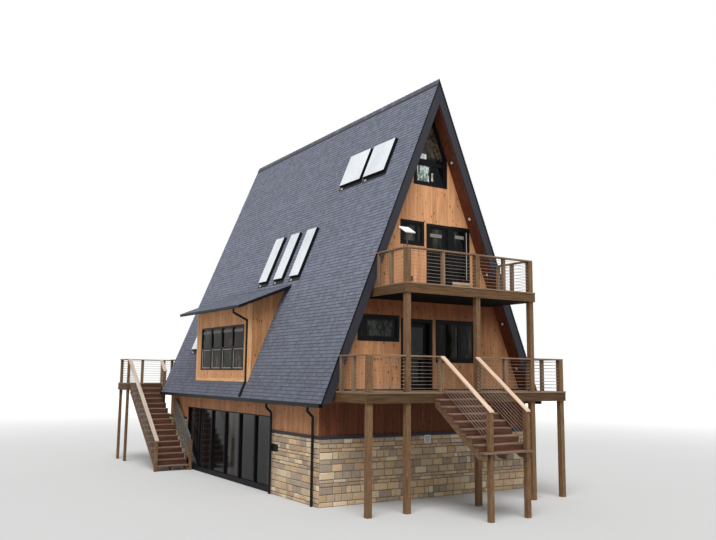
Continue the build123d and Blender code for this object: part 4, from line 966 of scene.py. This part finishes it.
BACK_POST_Y = BACK_DECK_END - RIM_WIDTH - POST
RAIL_CLEARANCE = 0.006
CAP_LAP = (CAP_WIDTH - RAIL_POST) / 2
back_rail_y = BACK_POST_Y + POST / 2
for near, far, reach in ((BACK_STAIR_LEFT + RAIL_POST / 2, DECK_POSTS[0], (RAIL_POST + CAP_LAP, POST / 2)),
                         (DECK_POSTS[0] + POST, -POST / 2, (POST / 2, POST / 2)),
                         (POST / 2, DECK_POSTS[3], (POST / 2, POST))):
    railing(back_planks, back_wires, (near, back_rail_y), (far, back_rail_y), MAIN_LEVEL,
            ((far - near) / 2,), reach)
railing(back_planks, back_wires, (BACK_STAIR_LEFT, LANDING_START + RIM_WIDTH + RAIL_POST),
        (BACK_STAIR_LEFT, back_rail_y - RAIL_POST / 2), MAIN_LEVEL, (),
        (RAIL_POST + RIM_WIDTH + RAIL_CLEARANCE, -CAP_LAP))
side_start, beside = ROOF_HALF_LENGTH + RAKE_GAP, RAIL_POST / 2
for corner, end, posts in ((-DECK_CORNER_X, LANDING_START, (beside, LANDING_START - side_start - beside)),
                           (DECK_CORNER_X, BACK_POST_Y, (beside,))):
    railing(back_planks, back_wires, (corner, side_start), (corner, end), MAIN_LEVEL, posts)
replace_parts(rail_planks.piece("front_rail_planks", rail_wood, "deck_wood", bevel=0.004),
            "deck_rails", "balcony_rails")
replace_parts(back_planks.piece("back_rail_planks", rail_wood, "deck_wood", bevel=0.004), "back_deck_rails")

# Stairs
TREAD_THICKNESS = 0.038
NOSING = 0.025
RISER_THICKNESS = 0.02
RISER_INSET = 0.01
TREAD_GAP = 0.006
CAP_NOSE = 0.02


def flight(piles, left, right, top_y, foot_level, count, run, newels, size):
    """Stair that goes down towards the front from a floor's edge. Each step has two tread boards and
    a riser in darker wood, painted shade under the tread; each newel (x, y) gets a sloping cap, cables
    and a wedge that meets the cap."""
    treads, risers, caps, cables = piles
    rise = (MAIN_LEVEL - foot_level) / count

    def rail_point(x, y):
        return Vector((x, y, MAIN_LEVEL + RAIL_HEIGHT - (top_y - y) * rise / run))

    for index in range(1, count):
        back, level = top_y - (index - 1) * run, MAIN_LEVEL - index * rise
        start, end = back - run - NOSING, back - RISER_THICKNESS
        middle, under = (start + end) / 2, level - TREAD_THICKNESS
        for y0, y1 in ((start, middle - TREAD_GAP / 2), (middle + TREAD_GAP / 2, end)):
            treads.box((left, y0, under), (right, y1, level), ACROSS)
        risers.box((left + RISER_INSET, end, under), (right - RISER_INSET, back, under + rise), ACROSS)
    floor, cap = Vector((0, 0, RAIL_HEIGHT)), Vector((0, 0, CAP_HEIGHT))
    for x, y in newels:
        back, front, side = y + size / 2, y - size / 2, x - size / 2
        high = rail_point(x, top_y - RAIL_CLEARANCE)
        caps.plank(high, rail_point(x, front - CAP_NOSE), CAP_WIDTH, CAP_HEIGHT)
        strung(cables, high - floor, rail_point(x, back) - floor)
        foot, top = rail_point(side, front) - cap, rail_point(side, back) - cap
        heads.prism([foot, (side, back, foot.z), top], (size, 0, 0), UPRIGHT)


NEWEL_SIDE = 0.12
FRONT_STAIR_LEFT = -1.37
FRONT_RISERS, FRONT_RUN = 9, 0.235
FRONT_NEWEL_Y = DECK_FRONT - 1.755
front_treads, front_risers, new_caps, stair_wires, heads = Pile(), Pile(), Pile(), Pile(), Pile()
flight((front_treads, front_risers, new_caps, stair_wires), FRONT_STAIR_LEFT, STAIR_RIGHT + NEWEL_SIDE / 2,
       DECK_FRONT, BASE_GRADE, FRONT_RISERS, FRONT_RUN,
       ((STAIR_LEFT, FRONT_NEWEL_Y), (STAIR_RIGHT, FRONT_NEWEL_Y)), NEWEL_SIDE)
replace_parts(front_treads.piece("front_treads", tread_wood, "deck_wood", bevel=0.006), "front_steps")
front_risers.piece("front_risers", painted_shade_riser_wood, "deck_wood")
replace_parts(new_caps.piece("front_stair_caps", new_wood, "pale_wood", bevel=0.004), "front_stair_rails")

BACK_RISERS, BACK_RUN = 16, 0.238
BACK_NEWEL_Y = LANDING_START - (BACK_RISERS - 1) * BACK_RUN
STUB_NEWEL_Y = ROOF_HALF_LENGTH + 0.06 + RAIL_POST / 2
back_treads, back_risers, back_caps = Pile(), Pile(), Pile()
flight((back_treads, back_risers, back_caps, back_wires), BACK_STAIR_LEFT + RAIL_POST / 2,
       BACK_STAIR_RIGHT - RAIL_POST / 2, LANDING_START, 0, BACK_RISERS, BACK_RUN,
       ((BACK_STAIR_LEFT, BACK_NEWEL_Y), (BACK_STAIR_RIGHT, STUB_NEWEL_Y)), RAIL_POST)
heads.piece("newel_heads", post_wood, "deck_wood")
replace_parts(back_treads.piece("back_treads", tread_wood, "deck_wood", bevel=0.006), "back_steps")
back_risers.piece("back_risers", painted_shade_riser_wood, "deck_wood")
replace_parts(back_caps.piece("back_stair_caps", greyed_wood, "pale_wood", bevel=0.004), "back_stair_rails")
for pile, name in ((wires, "front_cables"), (stair_wires, "front_stair_cables"), (back_wires, "back_cables")):
    pile.piece(name, steel, smooth=True)

# Stone facing: split stones in rough courses
STONE_HEIGHTS = (0.09, 0.12, 0.15, 0.19)
STONE_LENGTHS = (0.14, 0.46)
STONE_JOINT = 0.012
STONE_PROUD = (0.008, 0.022)
STONE_CHAMFER = 0.012
STONE_JITTER = 0.008
STONE_FACES = [(4, 5, 6, 7), (0, 1, 5, 4), (1, 2, 6, 5), (2, 3, 7, 6), (3, 0, 4, 7)]


def stone_wall(pile, face, start, end):
    """Stones over a strip of a face, from the ground up."""
    place, outward = face
    level = 0
    while level < VENEER_HEIGHT - 0.03:
        top = min(VENEER_HEIGHT, level + dice.choice(STONE_HEIGHTS))
        if VENEER_HEIGHT - top < 0.06:
            top = VENEER_HEIGHT
        u = start
        while u < end - 0.02:
            u_next = min(end, u + dice.uniform(*STONE_LENGTHS))
            if end - u_next < 0.1:
                u_next = end
            lift = outward * dice.uniform(*STONE_PROUD)
            jitter = [dice.uniform(0, STONE_JITTER) for corner in range(8)]
            points = []
            for inset, (a, b, c, d), push in ((STONE_JOINT / 2, jitter[:4], Vector()),
                                              (STONE_JOINT / 2 + STONE_CHAMFER, jitter[4:], lift)):
                u0, u1, z0, z1 = u + inset, u_next - inset, level + inset, top - inset
                spots = ((u0 + a, z0), (u1 - b, z0), (u1, z1 - c), (u0, z1 - d))
                points += [Vector(place(*spot)) + push for spot in spots]
            pile.shape(points, STONE_FACES, UPRIGHT)
            u = u_next
        level = top


stones = Pile()
veneer_half = BASEMENT_HALF + VENEER_THICKNESS
veneer_front, veneer_back = FRONT_FACE - VENEER_THICKNESS, BACK_FACE + VENEER_THICKNESS
for y in (veneer_front, veneer_back):
    stone_wall(stones, gable_face(y), -veneer_half, veneer_half)
for side, start, end in ((-1, veneer_front, GLAZING[0] - 0.07), (-1, GLAZING[1] + 0.07, veneer_back),
                         (1, veneer_front, veneer_back)):
    stone_wall(stones, side_face(side * veneer_half), start, end)
stones.piece("facing_stones", split_stone, "stone")

# Louvred vents in the base, with a black back behind their slats: painted shade of the vent's hollow
VENT = (-0.265, -0.055, 1.476, 1.703)
VENT_PROUD = 0.03
VENT_BACK = 0.018
VENT_RIM = 0.014
VENT_SLATS = 7
SLAT_DEPTH = 0.006
vents, fittings = Pile(), Pile()
left, right, foot, head = VENT
pitch = (head - foot - 2 * VENT_RIM) / VENT_SLATS
for face, outward in ((veneer_front, -1), (veneer_back, 1)):
    front, behind = face + outward * VENT_PROUD, face + outward * (VENT_PROUD - SLAT_DEPTH)
    for z in (foot, head - VENT_RIM):
        vents.box((left, face, z), (right, front, z + VENT_RIM))
    for x in (left, right - VENT_RIM):
        vents.box((x, face, foot), (x + VENT_RIM, front, head))
    for index in range(VENT_SLATS):
        z = foot + VENT_RIM + (index + 0.2) * pitch
        slat = [(left, front, z), (left, behind, z + pitch * 0.6), (left, behind, z + pitch * 0.45)]
        vents.prism(slat, (right - left, 0, 0))
    # Black back behind the slats: painted shade of the vent's hollow
    fittings.box((left + VENT_RIM, face, foot), (right - VENT_RIM, face + outward * VENT_BACK, head))
vents.piece("base_vents", white_panel, "panel_white")


def front_box(pile, left, right, low, high, proud, back=0):
    """Box on the front gable's face, from a back before the face to a front that stands proud of it."""
    pile.box((left, FRONT_FACE - proud, low), (right, FRONT_FACE - back, high))


# Dark fittings: a hatch on the left wall, a socket box beside the balcony doors, flashing where the
# boards meet the deck and the balcony, and the covers beside the balcony window
HATCH = (-3.39, -2.87, 1.18, 1.39)
SOCKET_X, SOCKET_LEVEL = -0.72, 6.09
FLASHING_HEIGHT = 0.03
FLASHING_PROUD = 0.006
MIDDLE_COVER_PROUD = 0.019
RIGHT_COVER, RIGHT_COVER_PROUD = 0.07, 0.02
for inset, proud in ((0, 0.02), (0.02, 0.032), (0.05, 0.026)):
    fittings.box((-veneer_half - proud, HATCH[0] + inset, HATCH[2] + inset),
                 (-veneer_half, HATCH[1] - inset, HATCH[3] - inset))
for half, proud in ((0.05, 0.03), (0.035, 0.045)):
    front_box(fittings, SOCKET_X - half, SOCKET_X + half, SOCKET_LEVEL - half, SOCKET_LEVEL + half,
              BOARD_THICKNESS + proud)
for x0, x1, level in ((-DECK_HALF, DOOR_UNIT[0], MAIN_LEVEL), (DOOR_UNIT[1], DECK_HALF, MAIN_LEVEL),
                      (-BALCONY_HALF, BALCONY_DOOR_UNIT[0], UPPER_LEVEL),
                      (BALCONY_WINDOW_UNIT[1], BALCONY_HALF, UPPER_LEVEL)):
    front_box(fittings, x0, x1, level, level + FLASHING_HEIGHT, BOARD_THICKNESS + FLASHING_PROUD)
front_box(fittings, BALCONY_DOOR_UNIT[1] - CASING_LAP, BALCONY_WINDOW_UNIT[0] + CASING_LAP, UPPER_LEVEL,
          BALCONY_DOOR_UNIT[3], MIDDLE_COVER_PROUD)
front_box(fittings, BALCONY_WINDOW_UNIT[1] - CASING_LAP, BALCONY_WINDOW_UNIT[1] + RIGHT_COVER, UPPER_LEVEL,
          BALCONY_WINDOW_UNIT[3], RIGHT_COVER_PROUD)
fittings.piece("dark_fittings", frame_black, "frame_black", bevel=0.002)

# Pale sill under the balcony window
SILL = (0.79, 1.48, 6.03, 6.09)
SILL_BACK, SILL_PROUD, APRON_PROUD = 0.018, 0.045, 0.032
sills = Pile()
front_box(sills, *SILL, SILL_PROUD, SILL_BACK)
front_box(sills, SILL[0] + 0.01, SILL[1] - 0.01, SILL[2] - 0.03, SILL[2], APRON_PROUD, SILL_BACK)
sills.piece("balcony_sill", new_wood, "siding", bevel=0.003)

# Window panes: thin sheets close behind the frames' outer faces
PANE_DEPTH = 0.018
PANE_THICKNESS = 0.006
PANE_INSET = 0.122
FLOOR_SASH = 0.06
ATTIC_SLOPE_GAP = 0.016


def attic_pane(right, bottom):
    """Corners of the attic window's pane, as (x, level)."""
    half, sill = right - PANE_INSET, bottom + PANE_INSET
    peak = INNER_RIDGE - ATTIC_SLOPE_GAP / cos(SLOPE)
    shoulder = peak - (half + PANE_INSET / sin(SLOPE)) * tan(SLOPE)
    return [(-half, sill), (half, sill), (half, shoulder), (0, peak - PANE_INSET / cos(SLOPE)),
            (-half, shoulder)]


panes = Pile()
for units, y in ((FRONT_UNITS[1:], FRONT_FACE), (BACK_UNITS, BACK_FACE)):
    place, outward = gable_face(y)
    outlines = []
    for left, right, bottom, top in units[:-1]:
        low = bottom + (FLOOR_SASH if bottom in (MAIN_SILL, UPPER_SILL) else PANE_INSET)
        outlines.append(rectangle(left + PANE_INSET, right - PANE_INSET, low, top - PANE_INSET))
    for outline in outlines + [attic_pane(*ATTIC_UNIT[1:3])]:
        panes.prism([Vector(place(*spot)) - outward * PANE_DEPTH for spot in outline],
                    -outward * PANE_THICKNESS)
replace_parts(panes.piece("window_panes", pane_glass, "glass"), "front_glass", "back_glass")

# Dormer panes with pale frames round the lower ones, and blinds in the heads of the windows
DORMER_UNITS = 4
SASH = 0.055
MEETING_RAIL = 0.06
STRIP = 0.024
STRIP_SUNK = 0.002
BLIND_PROUD = 0.003
BLIND_INSET = 0.03
DOOR_STRIP = (1.33, 1.355, 6.19, 7.62)
dormer_panes, pale_strips, blinds = Pile(), Pile(), Pile()
start, end, sill, head = DORMER_WINDOW
unit = (end - start) / DORMER_UNITS
light = (head - sill - 2 * SASH - MEETING_RAIL) / 2
low, high = sill + SASH, sill + SASH + light
blind_top = head - SASH - 0.07
for side in (-1, 1):
    pane_x, strip_x = side * (DORMER_FRONT - PANE_DEPTH), side * (DORMER_FRONT - STRIP_SUNK)
    place, outward = side_face(pane_x)
    for index in range(DORMER_UNITS):
        a, b = start + index * unit + SASH, start + (index + 1) * unit - SASH
        for foot in (low, high + MEETING_RAIL):
            dormer_panes.prism([place(*spot) for spot in rectangle(a, b, foot, foot + light)],
                               -outward * PANE_THICKNESS)
        for y0, y1, z0, z1 in ((a, a + STRIP, low, high), (b - STRIP, b, low, high), (a, b, low, low + STRIP),
                               (a, b, high - STRIP, high)):
            pale_strips.box((pane_x, y0, z0), (strip_x, y1, z1))
        blinds.box((pane_x, a + BLIND_INSET, blind_top - dice.uniform(0.07, 0.1)),
                   (pane_x + side * BLIND_PROUD, b - BLIND_INSET, blind_top))
for left, width, top in ((0.0, 0.43, 7.46), (0.93, 0.34, 7.5)):
    front_box(blinds, left, left + width, top - 0.1, top, BLIND_PROUD - PANE_DEPTH, -PANE_DEPTH)
front_box(pale_strips, *DOOR_STRIP, 0.027, 0.019)
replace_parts(dormer_panes.piece("dormer_panes", dormer_pane, "glass"), "dormer_glass")
blinds.piece("blinds", blind_fabric, "panel_white")
pale_strips.piece("lower_sash_frames", pale_frame, "frame_black")

# Round lights in the soffit boards of both gables
SOFFIT_LEVELS = (9.63, 8.005, 6.372, 4.918, 3.587)
SOFFIT_THICKNESS = 0.012
LIGHT_Y = 5.9
LIGHT_RADIUS, RIM_RADIUS = 0.045, 0.067
LIGHT_SIDES = 20
lights, rims = Pile(), Pile()
for side in (-1, 1):
    out = slope_axes(side)[1]
    for y in (-LIGHT_Y, LIGHT_Y):
        for level in SOFFIT_LEVELS:
            x = side * (outer_x(level) - (ROOF_THICKNESS + SOFFIT_THICKNESS) / sin(SLOPE))
            centre = Vector((x, y, level))
            rims.rod(centre, centre - out * 0.012, RIM_RADIUS, LIGHT_SIDES)
            lights.rod(centre - out * 0.004, centre - out * 0.016, LIGHT_RADIUS, LIGHT_SIDES)
rims.piece("soffit_light_rims", black_metal, "panel_white")
lights.piece("soffit_lights", white_panel, "panel_white")

# Straps on the downspouts
PIPE_RADIUS = 0.035
STRAP_RADIUS = 0.04
STRAP_HEIGHT = 0.03
STRAP_LEVELS = (0.7, 1.5, 2.1)
straps = Pile()
pipe_x = veneer_half + 0.04 + PIPE_RADIUS
for side in (-1, 1):
    for y in (FRONT_FACE + 0.23, FRONT_FACE + 2.65):
        for level in STRAP_LEVELS:
            foot = Vector((side * pipe_x, y, level))
            straps.rod(foot, foot + Vector((0, 0, STRAP_HEIGHT)), STRAP_RADIUS, 16)
straps.piece("downspout_straps", black_metal, "gutter_black")

# Finishes of the source's own solids
finishes = {
    inner_wood: ["front_gable_wall", "front_wall_left", "front_wall_right", "back_gable_wall",
                 "basement_front_wall", "basement_back_wall", "dormer_cheeks"],
    side_inner_wood: ["basement_left_wall", "basement_right_wall", "dormer_front_walls"],
    floor_wood: ["main_floor", "upper_floor", "loft_floor"],
    slab_concrete: ["basement_slab"],
    mortar: ["stone_veneer"],
    post_wood: ["front_deck_posts", "back_deck_posts"],
    stringer_wood: ["front_stair_stringers", "back_stair_stringers"],
    soffit_wood: ["rake_soffits"],
    underlay: ["roof_left", "roof_right", "ridge_cap"],
    navy_soffit: ["dormer_roofs"],
    slate_trim: ["rake_boards", "water_table"],
    black_metal: ["gutters", "downspouts", "skylight_frames"],
    frame_black: ["front_windows", "back_windows", "balcony_doors", "dormer_windows", "basement_glazing",
                  "basement_side_windows", "door_frame", "door_leaf"],
    door_pane: ["door_glass"],
    basement_pane: ["basement_glass"],
    sky_reflection_pane: ["skylight_glass"],
    antenna_paint: ["antenna"],
    handle_black: ["door_handle"],
    hinge_steel: ["hinge_pins", "hinge_knuckles"],
    grey_wood: ["lower_stair_rail"],
}
for material, names in finishes.items():
    for name in names:
        node = nodes[name]
        node.data.materials.clear()
        node.data.materials.append(material)

# Pale floor, soft light, white background
FLOOR_HALF = 90
FLOOR_FADE = (12, 60)
floor_mesh = bpy.data.meshes.new("floor")
corners = [(x, y, 0) for x, y in rectangle(-FLOOR_HALF, FLOOR_HALF, -FLOOR_HALF, FLOOR_HALF)]
floor_mesh.from_pydata(corners, [], [(0, 1, 2, 3)])
ground = Finish("floor_finish", 0.95)
away = ground.node("VectorMath", [ground.place], operation="LENGTH").outputs["Value"]
paper = ground.mix(ground.step(away, *FLOOR_FADE), srgb(186, 186, 185), srgb(244, 244, 243))
mottle = ground.noise(ground.place, 0.2, 2)
floor_mesh.materials.append(ground.finish(ground.shade(paper, mottle, 0.98, 1.02)))
floor_plane = bpy.data.objects.new("floor", floor_mesh)
bpy.context.scene.collection.objects.link(floor_plane)

SKY_LIGHT = 0.5
world = bpy.data.worlds.new("world")
world.use_nodes = True
sky = Nodes(world.node_tree)
lighting = sky.tree.nodes["Background"]
lighting.inputs["Color"].default_value = (0.97, 0.985, 1, 1)
lighting.inputs["Strength"].default_value = SKY_LIGHT
backdrop = sky.node("Background", {"Color": (1, 1, 1, 1)})
rays = sky.node("LightPath").outputs
seen = rays["Is Camera Ray"]
for name in ("Is Glossy Ray", "Is Transmission Ray"):
    seen = sky.math("MAXIMUM", seen, rays[name])
chosen = sky.node("MixShader", [seen, lighting.outputs[0], backdrop.outputs[0]])
sky.set(sky.tree.nodes["World Output"].inputs["Surface"], chosen.outputs[0])
bpy.context.scene.world = world

SUN_FROM = Vector((-0.62, -0.9, 1.75))
SUN_STRENGTH = 3.4
SUN_SPREAD = 40
sun_data = bpy.data.lights.new("soft_sun", "SUN")
sun_data.energy = SUN_STRENGTH
sun_data.angle = radians(SUN_SPREAD)
sun = bpy.data.objects.new("soft_sun", sun_data)
sun.rotation_euler = SUN_FROM.to_track_quat("Z", "Y").to_euler()
bpy.context.scene.collection.objects.link(sun)

bpy.context.scene.view_settings.view_transform = "Standard"
